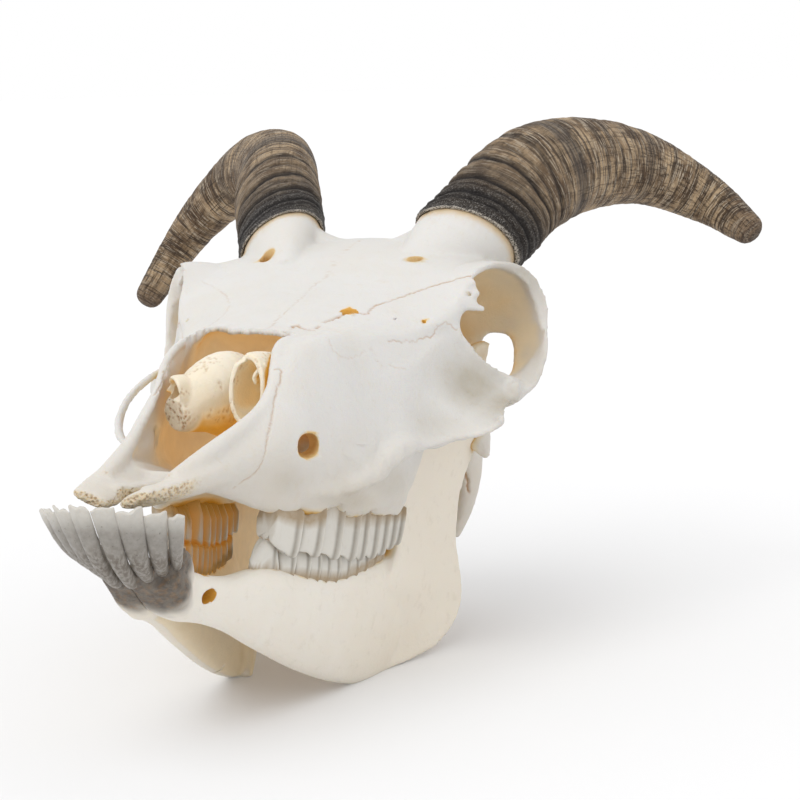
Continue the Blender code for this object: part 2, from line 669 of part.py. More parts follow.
def rested(bone):
    """Grinds the lower border flat where the jaw bears on the table."""
    slope = math.radians(NOSE_UP_DEG)
    down = Vector((0, math.sin(slope), -math.cos(slope)))
    return kept_side(bone, down * REST_DEPTH, down)


def jaw(name, side):
    """One lower jaw, from its fan of incisors to the joint behind the cheekbone."""
    body = [
        (6.8, -42, -18.0), (8.8, -32, -18.7), (11.2, -18, -19.7), (14.0, -4, -20.0), (16.6, 14, -22.5),
        (19.5, 34, -25.0), (23.0, 57, -25.3), (26.0, 76, -24.5), (29.0, 92, -20.0)]
    heights = (16, 15, 17, 24, 28.5, 33.5, 41, 44, 44)
    widths = (9, 9, 9.5, 10, 10.5, 11, 12, 10.5, 7)
    spade = [(6.0, -36, -19.5), (6.2, -48, -18.0), (8.0, -58, -13.5), (9.8, -67, -9.0), (10.6, -73, -6.5)]

    def placed(points):
        return [(x * side, y, z) for x, y, z in points]

    pieces = [bar("body", placed(body), heights, widths, towards=(0.2 * side, 0, 1), power=2.6)]
    pieces.append(bar("spade", placed(spade), (10, 11, 15, 20, 19), (13, 12, 10, 7, 4.5), towards=(1, 0, 0)))
    pieces.append(ramus(side))
    head = [(33.5 * side, 136, 51.2), (43 * side, 134, 51.2), (52.5 * side, 133, 50.6)]
    pieces.append(bar("joint_head", head, (7, 10, 7), (5.5, 7.0, 5.5), towards=(0, 1, 0)))
    bone = fused(name, pieces, SHELL_VOXEL, 4)
    bone = kept_side(bone, Vector((GAP / 2 * side, 0, 0)), Vector((-side, 0, 0)))
    bone = thinned(bone, JAW_TRIANGLES)
    bone = combined(bone, cheek_teeth("teeth", side, False), "UNION")
    for index in range(4):
        bone = combined(bone, incisor("incisor", index, side), "UNION")
    return largest_body(rested(bone))


# ---------------------------------------------------------------- whole pieces
def cranium():
    solid = [face(), brow(), braincase(), *nose_prongs(), *cheek(), *underside()]
    for side in (1, -1):
        solid.append(socket_ring("socket_ring", side))
        solid.append(socket_wall("socket_wall", side))
    bone = fused("cranium", solid, SHELL_VOXEL, 3)
    hollows = fused("hollows", nose_hollow(), SHELL_VOXEL, 2)
    bone = combined(bone, hollows, "DIFFERENCE")
    for hollow in [*socket_hollows(), *small_hollows()]:
        bone = combined(bone, hollow, "DIFFERENCE")
    for points in (LEFT_HORN, RIGHT_HORN):
        bone = combined(bone, sheath_room(points), "DIFFERENCE")
    cores = [horn_core("core", points) for points in (LEFT_HORN, RIGHT_HORN)]
    bone = fused("cranium", [largest_body(bone), *cores], SHELL_VOXEL, 2)
    bone = thinned(largest_body(bone), CRANIUM_TRIANGLES)
    for side in (1, -1):
        bone = combined(bone, cheek_teeth("teeth", side, True), "UNION")
    return largest_body(bone)


def concha(name, points, highs, wides):
    """A scroll of thin bone in the nose, as one plain closed body."""
    return bar(name, points, highs, wides, towards=(0, 0, 1), count=9, sides=12, power=2.0)


def material(name, colour, roughness):
    made = bpy.data.materials.new(name)
    made.use_nodes = True
    shader = made.node_tree.nodes["Principled BSDF"]
    shader.inputs["Base Color"].default_value = colour
    shader.inputs["Roughness"].default_value = roughness
    shader.inputs["Metallic"].default_value = 0.0
    return made


def main():
    for old in list(bpy.data.objects):
        bpy.data.objects.remove(old)
    parts = bpy.data.collections.new("ram_skull")
    bpy.context.scene.collection.children.link(parts)
    left_scroll = [(8.0, 3, 47), (9.5, 14, 46), (11, 32, 46), (11, 50, 46)]
    right_scroll = [(-17.5, 5, 39.5), (-15, 14, 42), (-13, 32, 45), (-12, 50, 46)]
    pieces = [
        ("cranium", cranium(), BONE, 0.55),
        ("concha_left", concha("concha_left", left_scroll, (15, 22, 25, 14), (5, 11, 15, 9)), INNER_BONE, 0.6),
        ("concha_right", concha("concha_right", right_scroll, (9, 18, 25, 14), (8, 12, 16, 9)), INNER_BONE, 0.6),
        ("mandible_left", jaw("mandible_left", 1), JAW_BONE, 0.5),
        ("mandible_right", jaw("mandible_right", -1), JAW_BONE, 0.5),
        ("horn_sheath_left", sheath("horn_sheath_left", LEFT_HORN), HORN, 0.6),
        ("horn_sheath_right", sheath("horn_sheath_right", RIGHT_HORN), HORN, 0.6),
    ]
    slope = math.radians(NOSE_UP_DEG)
    upright = Matrix.Rotation(-slope, 4, "X")
    metres = Matrix.Scale(0.001, 4)
    corners = []
    for name, body, colour, roughness in pieces:
        body.name = name
        body.data.name = name
        body.data.transform(metres @ upright)
        corners += [vert.co.copy() for vert in body.data.vertices]
        body.data.materials.clear()
        body.data.materials.append(material(name, colour, roughness))
        parts.objects.link(body)
    low = Vector([min(c[i] for c in corners) for i in range(3)])
    high = Vector([max(c[i] for c in corners) for i in range(3)])
    shift = Vector((-(low.x + high.x) / 2, -(low.y + high.y) / 2, -low.z))
    for name, body, colour, roughness in pieces:
        body.data.transform(Matrix.Translation(shift))
        body.data.shade_smooth()
    return shift


shift = main()
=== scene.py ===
import math

import bmesh
import bpy
import numpy as np
from mathutils import Matrix, Vector, kdtree, noise
from mathutils.bvhtree import BVHTree


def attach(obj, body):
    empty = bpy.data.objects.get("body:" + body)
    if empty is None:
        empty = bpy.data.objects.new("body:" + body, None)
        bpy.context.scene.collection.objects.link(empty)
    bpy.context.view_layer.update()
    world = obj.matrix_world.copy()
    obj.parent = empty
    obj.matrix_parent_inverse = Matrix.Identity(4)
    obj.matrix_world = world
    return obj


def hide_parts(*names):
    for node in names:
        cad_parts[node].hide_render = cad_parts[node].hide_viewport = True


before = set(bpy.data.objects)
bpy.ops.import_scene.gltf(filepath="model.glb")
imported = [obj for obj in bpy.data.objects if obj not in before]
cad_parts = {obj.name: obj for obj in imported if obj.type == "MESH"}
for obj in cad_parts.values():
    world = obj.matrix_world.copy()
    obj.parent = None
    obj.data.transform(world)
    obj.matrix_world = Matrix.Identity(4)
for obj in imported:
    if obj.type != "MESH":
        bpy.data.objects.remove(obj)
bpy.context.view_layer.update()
print("frame loaded", sorted(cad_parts))

# Shapes are made in the skull's own frame, in millimetres: chewing surface at z = 0, front of the
# first upper cheek tooth at y = 0, +x the animal's left. They are set down nose up at the very end.
stand = {"noseUp": 12.5, "shift": (3.218, -86.22, 60.4), "gap": 0.3}
setDown = (Matrix.Scale(0.001, 4) @ Matrix.Translation(stand["shift"])
           @ Matrix.Rotation(-math.radians(stand["noseUp"]), 4, "X"))


# curves
def keyed(keys, values, samples):
    # a smooth curve through the keyed values
    keys = np.asarray(keys, float)
    values = np.asarray(values, float)
    slopes = np.gradient(values, keys, axis=0)
    samples = np.atleast_1d(np.asarray(samples, float))
    i = np.clip(np.searchsorted(keys, samples) - 1, 0, len(keys) - 2)
    span = keys[i + 1] - keys[i]
    t = (samples - keys[i]) / span
    if values.ndim > 1:
        t = t[:, None]
        span = span[:, None]
    a = (1 + 2 * t) * (1 - t) ** 2
    b = t * (1 - t) ** 2
    c = t * t * (3 - 2 * t)
    d = t * t * (t - 1)
    return a * values[i] + b * span * slopes[i] + c * values[i + 1] + d * span * slopes[i + 1]


def followed(points, count):
    # evenly spaced places on a smooth curve, with directions and distances
    points = np.asarray(points, float)
    steps = np.linalg.norm(np.diff(points, axis=0), axis=1)
    keys = np.concatenate([[0.0], np.cumsum(steps)])
    samples = np.linspace(0.0, keys[-1], count)
    places = keyed(keys, points, samples)
    ways = np.gradient(places, axis=0)
    ways /= np.linalg.norm(ways, axis=1, keepdims=True)
    return places, ways, keys, samples


def eased(x, low, high):
    t = np.clip((x - low) / (high - low), 0.0, 1.0)
    return t * t * (3 - 2 * t)


def roundedLoop(corners):
    # a closed smooth curve through flat corner points
    corners = np.asarray(corners, float)
    perSide = 5
    loop = []
    for i in range(len(corners)):
        a, b, c, d = (corners[(i + k) % len(corners)] for k in (-1, 0, 1, 2))
        for t in np.linspace(0, 1, perSide, endpoint=False):
            loop.append((1 + 2 * t) * (1 - t) ** 2 * b + t * (1 - t) ** 2 * (c - a) / 2
                        + t * t * (3 - 2 * t) * c + t * t * (t - 1) * (d - b) / 2)
    return loop


def torn(corners, size, step, seed):
    # a flat outline whose sides are broken up into small uneven steps
    rng = np.random.default_rng(seed)
    loop = []
    for a, b in zip(corners, corners[1:] + corners[:1]):
        a, b = np.array(a, float), np.array(b, float)
        count = max(1, int(np.linalg.norm(b - a) / step))
        side = np.array([-(b - a)[1], (b - a)[0]]) / max(1e-6, np.linalg.norm(b - a))
        for k in range(count):
            loop.append(a + (b - a) * k / count + side * rng.normal(0, size) * (k > 0))
    return loop


# bodies
def objectOf(name, shape):
    mesh = bpy.data.meshes.new(name)
    shape.to_mesh(mesh)
    shape.free()
    return bpy.data.objects.new(name, mesh)


def loopEdges(shape, row):
    return [shape.edges.get((a, b)) for a, b in zip(row, row[1:] + row[:1])]


def lofted(name, rings, closed=False):
    # a circle that is extruded from ring to ring
    shape = bmesh.new()
    row = bmesh.ops.create_circle(shape, segments=len(rings[0]), radius=1.0)["verts"]
    edges = loopEdges(shape, row)
    first = edges
    for number, ring in enumerate(rings):
        if number:
            out = bmesh.ops.extrude_edge_only(shape, edges=edges)
            fresh = {item for item in out["geom"] if isinstance(item, bmesh.types.BMVert)}
            row = [next(edge.other_vert(vert) for edge in vert.link_edges
                        if edge.other_vert(vert) in fresh) for vert in row]
            edges = loopEdges(shape, row)
        for vert, place in zip(row, ring):
            vert.co = place
    if closed:
        bmesh.ops.bridge_loops(shape, edges=first + edges)
    else:
        bmesh.ops.edgeloop_fill(shape, edges=first)
        bmesh.ops.edgeloop_fill(shape, edges=edges)
    bmesh.ops.recalc_face_normals(shape, faces=shape.faces)
    return objectOf(name, shape)


def bar(name, points, wide, thick, towards=(0, 0, 1), count=16, sides=20, power=2.3):
    # a bar with rounded flat sections, its width lying towards the given way
    places, ways, keys, samples = followed(points, count)
    wide = keyed(keys, np.broadcast_to(np.asarray(wide, float), len(points)), samples)
    thick = keyed(keys, np.broadcast_to(np.asarray(thick, float), len(points)), samples)
    towards = np.asarray(towards, float)
    rings = []
    for place, way, w, t in zip(places, ways, wide, thick):
        across = towards - way * (towards @ way)
        across /= np.linalg.norm(across)
        through = np.cross(way, across)
        ring = []
        for k in range(sides):
            angle = 2 * math.pi * k / sides
            c = math.copysign(abs(math.cos(angle)) ** (2 / power), math.cos(angle))
            s = math.copysign(abs(math.sin(angle)) ** (2 / power), math.sin(angle))
            ring.append(place + across * c * w / 2 + through * s * t / 2)
        rings.append(ring)
    return lofted(name, rings)


def ball(name, centre, radii, turn=(0, 0, 0), axes=None):
    shape = bmesh.new()
    bmesh.ops.create_uvsphere(shape, u_segments=32, v_segments=20, radius=1.0)
    if axes:
        turned = Matrix([a * r for a, r in zip(axes, radii)]).transposed().to_4x4()
    else:
        turned = Matrix.Rotation(math.radians(turn[2]), 4, "Z")
        turned = turned @ Matrix.Rotation(math.radians(turn[1]), 4, "Y")
        turned = turned @ Matrix.Rotation(math.radians(turn[0]), 4, "X")
        turned = turned @ Matrix.Diagonal((*radii, 1.0))
    bmesh.ops.transform(shape, matrix=Matrix.Translation(centre) @ turned, verts=shape.verts)
    bmesh.ops.recalc_face_normals(shape, faces=shape.faces)
    return objectOf(name, shape)


def trunk(name, stations):
    # the same on both sides: y, then height and half-width at foot, flank and shoulder, under, top
    stations = np.asarray(stations, float)
    step = 3.0
    keys = stations[:, 0]
    samples = np.linspace(keys[0], keys[-1], int((keys[-1] - keys[0]) / step) + 1)
    rings = []
    for y, row in zip(samples, keyed(keys, stations[:, 1:], samples)):
        footZ, foot, flankZ, flank, shoulderZ, shoulder, under, top = row
        half = [(foot * 0.55, (under + footZ) / 2), (foot, footZ), (flank, flankZ)]
        half += [(shoulder, shoulderZ), (shoulder * 0.55, top * 0.75 + shoulderZ * 0.25)]
        corners = [(0.0, under)] + half + [(0.0, top)] + [(-x, z) for x, z in reversed(half)]
        rings.append([(x, y, z) for x, z in roundedLoop(corners)])
    return lofted(name, rings)


def prism(name, corners, low, high, axis=2):
    # a flat outline pushed along z, or along x when the axis is 0
    def placed(a, b, c):
        return (a, b, c) if axis else (c, a, b)

    shape = bmesh.new()
    verts = [shape.verts.new(placed(a, b, low)) for a, b in corners]
    face = shape.faces.new(verts)
    out = bmesh.ops.extrude_face_region(shape, geom=[face])
    fresh = [item for item in out["geom"] if isinstance(item, bmesh.types.BMVert)]
    bmesh.ops.translate(shape, vec=placed(0.0, 0.0, high - low), verts=fresh)
    bmesh.ops.recalc_face_normals(shape, faces=shape.faces)
    return objectOf(name, shape)


def plate(name, upper, lower, thick, dish, side):
    # a bent plate between two lines, both on its outer face, which is dished by the given depths
    count, across = 26, 10
    tops, lows = followed(upper, count)[0], followed(lower, count)[0]
    ways = np.gradient((tops + lows) / 2, axis=0)
    shares = np.linspace(0, 1, count)
    thick = np.interp(shares, np.linspace(0, 1, len(thick)), thick)
    dish = np.interp(shares, np.linspace(0, 1, len(dish)), dish)
    rings = []
    for top, low, way, t, sunk in zip(tops, lows, ways, thick, dish):
        out = np.cross(low - top, way)
        out *= math.copysign(1, out[0]) / np.linalg.norm(out)
        ring = []
        for under in (False, True):
            for k in np.linspace(0, 1, across)[::-1 if under else 1]:
                hump = max(0.0, math.sin(math.pi * k))
                depth = sunk * hump + (t * max(0.22, hump) ** 0.5 if under else 0.0)
                ring.append(top + (low - top) * k - out * depth)
        rings.append([(x * side, y, z) for x, y, z in ring])
    return lofted(name, rings)


def flipped(points):
    return [(-x, y, z) for x, y, z in points]


def bothSides(name, points, *rest, towards=(0, 0, 1), **more):
    left = bar(name + "L", points, *rest, towards=towards, **more)
    other = (-towards[0], towards[1], towards[2])
    return [left, bar(name + "R", flipped(points), *rest, towards=other, **more)]


def twoBalls(name, centre, radii, turn=(0, 0, 0)):
    x, y, z = centre
    return [ball(name + "L", centre, radii, turn),
            ball(name + "R", (-x, y, z), radii, (turn[0], -turn[1], -turn[2]))]


# fusing and cutting
def dropped(body):
    mesh = body.data
    bpy.data.objects.remove(body)
    bpy.data.meshes.remove(mesh)


def settled(body):
    # the body with its modifiers worked in
    bpy.context.scene.collection.objects.link(body)
    graph = bpy.context.evaluated_depsgraph_get()
    mesh = bpy.data.meshes.new_from_object(body.evaluated_get(graph))
    made = bpy.data.objects.new(body.name, mesh)
    dropped(body)
    return made


def gathered(name, bodies):
    shape = bmesh.new()
    for body in bodies:
        shape.from_mesh(body.data)
        dropped(body)
    return objectOf(name, shape)


def fused(name, bodies, voxel, smoothing):
    # all bodies as one continuous skin
    whole = gathered(name, bodies)
    skin = whole.modifiers.new("fuse", "REMESH")
    skin.mode = "VOXEL"
    skin.voxel_size = voxel
    if smoothing:
        ease = whole.modifiers.new("ease", "SMOOTH")
        ease.factor = 0.5
        ease.iterations = smoothing
    return settled(whole)


def worked(body, tool):
    # the body with the tool cut out of it
    bpy.context.scene.collection.objects.link(tool)
    step = body.modifiers.new("cut", "BOOLEAN")
    step.operation = "DIFFERENCE"
    step.solver = "MANIFOLD"
    step.object = tool
    result = settled(body)
    dropped(tool)
    return result


def thinned(body, triangles):
    body.data.calc_loop_triangles()
    step = body.modifiers.new("thin", "DECIMATE")
    step.ratio = min(1.0, triangles / len(body.data.loop_triangles))
    step.use_collapse_triangulate = True
    return settled(body)


def sliced(body, point, normal):
    # what lies beyond a plane is cut away, and the cut closed
    shape = bmesh.new()
    shape.from_mesh(body.data)
    geometry = shape.verts[:] + shape.edges[:] + shape.faces[:]
    cut = bmesh.ops.bisect_plane(shape, geom=geometry, dist=0.0001, plane_co=point,
                                 plane_no=normal, clear_outer=True)
    rim = [item for item in cut["geom_cut"] if isinstance(item, bmesh.types.BMEdge)]
    bmesh.ops.triangle_fill(shape, edges=rim, use_beauty=True)
    bmesh.ops.recalc_face_normals(shape, faces=shape.faces)
    shape.to_mesh(body.data)
    shape.free()
    return body


def mainBody(body):
    # crumbs and closed pockets left by cutting are dropped
    shape = bmesh.new()
    shape.from_mesh(body.data)
    left = set(shape.verts)
    islands = []
    while left:
        seed = left.pop()
        island = {seed}
        edge = [seed]
        while edge:
            for link in edge.pop().link_edges:
                for other in link.verts:
                    if other not in island:
                        island.add(other)
                        edge.append(other)
        left -= island
        islands.append(island)
    islands.sort(key=len)
    crumbs = [vert for island in islands[:-1] for vert in island]
    bmesh.ops.delete(shape, geom=crumbs, context="VERTS")
    shape.to_mesh(body.data)
    shape.free()
    return body


# reading and shaping a finished skin
def placesOf(mesh):
    flat = np.empty(len(mesh.vertices) * 3)
    mesh.vertices.foreach_get("co", flat)
    return flat.reshape(-1, 3)


def normalsOf(mesh):
    flat = np.empty(len(mesh.vertices) * 3)
    mesh.vertex_normals.foreach_get("vector", flat)
    return flat.reshape(-1, 3)


def setPlaces(mesh, places):
    mesh.vertices.foreach_set("co", places.ravel())
    mesh.update()


def painted(mesh, name, values):
    layer = mesh.attributes.get(name) or mesh.attributes.new(name, "FLOAT", "POINT")
    layer.data.foreach_set("value", np.clip(values, 0, 1).astype(np.float32))


def paintOf(mesh, name):
    values = np.zeros(len(mesh.vertices), np.float32)
    if mesh.attributes.get(name):
        mesh.attributes[name].data.foreach_get("value", values)
    return values.astype(float)


def wave(places, size, seed, octaves=2):
    # smooth noise at each place, about -1 to 1, with lumps of the given size
    shift = Vector((seed * 7.3, seed * 3.1, seed * 5.7))
    return np.array([noise.fractal(Vector(p) / size + shift, 1.0, 2.0, octaves) for p in places])


def distanceTo(places, line):
    # how far each place near the line is from it; the rest count as far away
    line = np.asarray(line, float)
    far, reach, batch = 1e9, 6, 4000
    best = np.full(len(places), far)
    low, high = line.min(0) - reach, line.max(0) + reach
    near = np.where(((places > low) & (places < high)).all(1))[0]
    a, b = line[:-1], line[1:]
    way = b - a
    length = (way ** 2).sum(1) + 1e-12
    for start in range(0, len(near), batch):
        part = near[start:start + batch]
        rel = places[part][:, None] - a[None]
        t = np.clip((rel * way[None]).sum(2) / length, 0, 1)
        gap = rel - way[None] * t[..., None]
        best[part] = np.sqrt((gap ** 2).sum(2)).min(1)
    return best


def pitted(mesh, mask, size, depth):
    # small round pits where the mask is set; says how deep each place lies in one
    places, normals = placesOf(mesh), normalsOf(mesh)
    pit = np.zeros(len(places))
    for i in np.where(mask > 0.02)[0]:
        gap = noise.voronoi(Vector(places[i]) / size)[0][0]
        pit[i] = (1 - eased(gap, 0.22, 0.5)) * mask[i]
    setPlaces(mesh, places - normals * (pit * depth)[:, None])
    return pit


def refined(body, near, rounds):
    # the triangles with a marked corner are split in four, as often as asked
    shape = bmesh.new()
    shape.from_mesh(body.data)
    bmesh.ops.triangulate(shape, faces=shape.faces)
    for _ in range(rounds):
        places = np.array([vert.co for vert in shape.verts])
        marks = near(places)
        shape.verts.ensure_lookup_table()
        edges = {edge for vert, mark in zip(shape.verts, marks) if mark for edge in vert.link_edges}
        bmesh.ops.subdivide_edges(shape, edges=list(edges), cuts=1, smooth=0.0)
        bmesh.ops.triangulate(shape, faces=[f for f in shape.faces if len(f.verts) > 3])
    shape.to_mesh(body.data)
    shape.free()
    return body


# cranium
cranial = {"voxel": 1.1, "smoothing": 4, "triangles": 120000, "ridgeTop": 117.0}
socket = {"centre": Vector((62.2, 101.0, 80.5)), "facing": Vector((0.89, -0.456, 0.01)),
          "halfLong": 22.5, "halfHigh": 21.0}


def face():
    return trunk("face", [
        (-40, 13.5, 13.5, 19.5, 17.8, 25.0, 14.0, 15.5, 25.0),
        (-20, 11.8, 16.5, 25.0, 24.5, 35.5, 18.0, 15.0, 37.0),
        (-6, 9.5, 20.0, 29.0, 29.0, 44.0, 21.5, 16.0, 47.0),
        (4, 8.5, 22.5, 30.0, 31.5, 53.0, 22.5, 17.0, 57.0),
        (14, 9.0, 25.5, 31.0, 33.5, 60.0, 24.0, 17.5, 65.0),
        (24, 9.5, 28.5, 31.0, 36.0, 64.0, 27.0, 18.0, 68.0),
        (38, 10.0, 32.0, 31.0, 39.5, 67.0, 30.0, 18.0, 71.5),
        (55, 11.0, 35.5, 34.0, 43.5, 70.0, 38.0, 18.0, 79.5),
        (70, 12.0, 37.0, 44.0, 44.5, 75.0, 45.0, 18.0, 87.0),
        (80, 17.0, 33.5, 50.0, 46.0, 79.0, 50.0, 21.0, 91.5),
        (88, 27.0, 26.0, 56.0, 42.0, 84.0, 49.0, 30.0, 95.0)])


def brow():
    return trunk("brow", [
        (34, 61.0, 22.0, 64.0, 27.0, 67.0, 27.0, 60.0, 69.0),
        (48, 62.0, 28.0, 67.0, 34.0, 71.0, 33.0, 60.0, 76.5),
        (64, 66.0, 36.0, 71.0, 42.0, 75.0, 41.0, 60.0, 84.5),
        (78, 71.0, 44.0, 78.0, 51.0, 84.0, 49.0, 60.0, 90.5),
        (90, 79.0, 47.0, 89.0, 56.5, 94.5, 52.0, 60.0, 97.0),
        (102, 83.0, 50.0, 94.0, 62.5, 99.5, 57.0, 62.0, 104.5),
        (114, 84.0, 50.0, 94.0, 68.0, 101.5, 58.0, 66.0, 110.0),
        (124, 86.0, 44.0, 96.0, 58.0, 105.0, 50.0, 70.0, 113.5),
        (134, 86.0, 34.0, 95.0, 46.0, 107.0, 42.0, 72.0, cranial["ridgeTop"] - 1.0)])


def braincase():
    return trunk("braincase", [
        (76, 20.0, 15.0, 50.0, 24.0, 84.0, 38.0, 24.0, 86.0),
        (92, 30.0, 11.0, 55.0, 17.0, 88.0, 38.0, 30.0, 94.0),
        (106, 33.0, 11.0, 58.0, 16.0, 92.0, 38.0, 33.0, 102.0),
        (118, 32.0, 14.0, 62.0, 24.0, 98.0, 38.0, 32.0, 110.0),
        (130, 31.0, 18.0, 66.0, 31.5, 103.0, 34.0, 31.0, 115.0),
        (142, 30.0, 21.0, 67.0, 33.0, 99.0, 30.0, 29.5, 111.0),
        (156, 29.0, 23.0, 65.0, 32.0, 90.0, 26.0, 28.0, 103.0),
        (170, 28.0, 24.0, 60.0, 29.0, 80.0, 22.0, 26.5, 93.5),
        (181, 28.0, 22.0, 54.0, 27.0, 72.0, 20.0, 26.0, 84.0),
        (188, 29.0, 17.0, 48.0, 20.0, 62.0, 14.0, 27.0, 70.0)])


def nosePlates():
    # the two incisive bones that run forward and end in rough plates
    route = [(14.2, -18, 23.5), (13.6, -34, 19.3), (12.4, -48, 15.6), (10.2, -60, 12.6), (8.0, -70, 10.2),
             (7.0, -78, 8.8)]
    made = bothSides("prong", route, (15, 13.5, 13, 13.4, 13.2, 11.5), (11, 9.5, 8, 6.6, 5.4, 3.8),
                     towards=(1, 0.1, 0.42))
    inner = [(4.2, -28, 16.5), (3.6, -48, 13.2), (5.0, -66, 11.8)]
    return made + bothSides("rod", inner, (6.5, 5.6, 4.4), (5, 4.4, 3.6), towards=(1, 0, 0))


def noseLips():
    # the smooth rounded edges of the nose opening
    end = [(12.8, -48, 21.0), (11.4, -60, 15.2)]
    left = [(16, 33, 67), (12.6, 23, 65.4), (13.0, 14, 62.2), (15.6, 5, 55), (17.8, -2, 48),
            (18.0, -10, 41), (16.8, -22, 34), (14.8, -35, 27.5)] + end
    right = [(27, 42, 68), (26.6, 30, 66), (25.4, 17, 61.2), (23.2, 5, 54.4), (21.6, -2, 47.4),
             (20.0, -10, 41), (17.8, -22, 34), (14.8, -35, 27.5)] + end
    thick = (3.0, 3.8, 4.0, 4.2, 4.4, 4.6, 5.0, 5.6, 6.0, 6.0)
    made = [bar("lipL", left, thick, thick, towards=(1, 0, 0), power=2.0, count=34)]
    thick = (2.8, 2.8, 2.8, 2.8, 2.8, 3.0, 3.6, 4.6, 5.6, 6.0)
    return made + [bar("lipR", flipped(right), thick, thick, towards=(1, 0, 0), power=2.0, count=34)]


def cheekBones():
    upper = [(38, 46, 56), (44.5, 62, 64), (49.5, 75, 73), (53.5, 84, 71), (58.5, 89.5, 66),
             (63.2, 97, 62.4), (66.5, 105, 60.6), (69, 113, 60.6), (70, 119, 62.5)]
    lower = [(40, 38, 27), (46, 49, 31.5), (52.4, 60, 34.2), (58, 65, 37.0), (64, 70.5, 38.8),
             (70.4, 77.6, 43.2), (70.0, 87, 50.5), (69.0, 97, 54.6), (68.2, 106, 56)]
    inward = (0, 0, 0, 2.0, 4.5, 6.0, 3.5, 1.0, 0)      # the right cheek's edge is broken back
    far = [(x - shift, y, z) for (x, y, z), shift in zip(lower, inward)]
    thick, dish = (15, 15, 13, 8, 5, 4.2, 4, 4, 4), (0, 0.8, 3.0, 5.2, 5.4, 3.6, 1.4, 0)
    made = [plate("malar", upper, edge, thick, dish, side) for side, edge in ((1, lower), (-1, far))]
    arch = [(68.5, 96, 56), (66, 106, 57), (59.5, 117, 56.5), (54, 130, 57.5), (46, 144, 60),
            (34, 156, 60)]
    made += bothSides("arch", arch, (8, 8.5, 9, 9, 9, 10), (4, 4.2, 4.5, 5, 6, 10), towards=(-0.1, 0, 1))
    rim = [(49.5, 77, 78), (51.5, 80.5, 74), (54, 85, 70.6), (59, 90.5, 65.4), (63.6, 98, 61.8),
           (67, 107, 60.2)]
    made += bothSides("rim", rim, (3, 3.6, 3.6, 3.6, 3.4, 3), (3, 3.4, 3.2, 3, 3, 3),
                      towards=(0.8, -0.4, 0.3))
    post = [(64.5, 106, 55.5), (67.5, 116, 62), (68.2, 120, 74), (64, 118, 88)]
    made += bothSides("post", post, (12, 12, 14, 18), (3.6, 3.0, 3.0, 4.0), towards=(0.89, -0.45, 0))
    root = [(28, 136, 63), (40, 136, 61.5), (49, 139, 61)]
    made += bothSides("root", root, (22, 15, 9), (8, 7, 6), towards=(0, 1, 0))
    ridge = [(25, 4, 15), (29.5, 14, 16.5), (35.5, 27, 19.5), (39.6, 37, 24.5), (42.5, 45, 31),
             (46, 55, 34.5)]
    made += bothSides("ridge", ridge, (3, 4.5, 6, 8, 8, 6), (3, 4.5, 6, 7.5, 7.5, 6))
    # the broad foot of each horn core, and the thick rear rim of the right eye socket
    flare = [(8, 132, 110.0), (18, 131, 112.8), (28, 130, 117.2)]
    made += bothSides("flare", flare, (14, 17, 19), (8, 9.5, 11), towards=(0, 1, 0))
    farRim = [(-67, 113.5, 102), (-70.8, 117.5, 95.5), (-72.6, 120, 88), (-73, 121, 80), (-71.6, 120, 71)]
    thick = (3.4, 4.6, 5.2, 5.0, 3.4)
    made.append(bar("farRim", farRim, thick, thick, towards=(0, 1, 0)))
    # the left cheek's corner, the plates behind the lower jaw, the free strip at the right cheek
    made.append(ball("corner", (69.6, 77.4, 45.0), (1.3, 2.2, 2.6), (0, 0, 35)))
    behindJaw = [(41, 147, 58), (42, 144.5, 50), (43.6, 140, 43), (44.6, 136, 39), (45, 133, 37.4)]
    made += bothSides("behindJaw", behindJaw, (9, 9, 10, 10, 9), (7, 5, 5, 4.2, 3.2),
                      towards=(0, 1, 0.4), power=4.0)
    strip = [(-60, 92, 63), (-66, 85, 57), (-71.0, 79.5, 48.5), (-72.6, 78, 41), (-69.5, 74, 35.5),
             (-60, 66, 32.5)]
    made.append(bar("strip", strip, (5, 4.8, 4.6, 4.6, 4.4, 4), (2.4, 2.5, 2.7, 3.0, 3.2, 3.4),
                    towards=(0.3, 1, 0.2)))
    return made


def socketAxes(side):
    # outward, backward and upward ways of an eye socket's rim
    facing = socket["facing"].normalized()
    level = Vector((0, 0, 1)).cross(facing).normalized()
    return [Vector((a.x * side, a.y, a.z)) for a in (facing, level, facing.cross(level))]


def socketCentre(side):
    return Vector((socket["centre"].x * side, socket["centre"].y, socket["centre"].z))


def socketRing(side):
    facing, level, upward = socketAxes(side)
    around, sides = 44, 14
    rings = []
    for k in range(around):
        angle = 2 * math.pi * k / around
        back, high = math.cos(angle), math.sin(angle)
        out = level * back * socket["halfLong"] + upward * high * socket["halfHigh"]
        out *= 1 + 0.2 * max(0.0, back) * max(0.0, high)
        depth = 4.5 + 2.5 * max(0.0, back) + 3.5 * max(0.0, high)      # widest behind and above
        middle = socketCentre(side) + out - facing * (depth - 1.0)
        ring = []
        for j in range(sides):
            turn = 2 * math.pi * j / sides
            thin = 1.35 - 0.3 * math.sin(turn)
            ring.append(middle + out.normalized() * math.cos(turn) * thin
                        + facing * math.sin(turn) * depth)
        rings.append(ring)
    return lofted("ring", rings, closed=True)


def socketWall(side):
    axes = socketAxes(side)
    size = (30, socket["halfLong"] + 1, socket["halfHigh"] + 1)
    wall = ball("wall", socketCentre(side) - axes[0] * 9, size, axes=axes)
    return sliced(wall, socketCentre(side) - axes[0] * 2, axes[0])


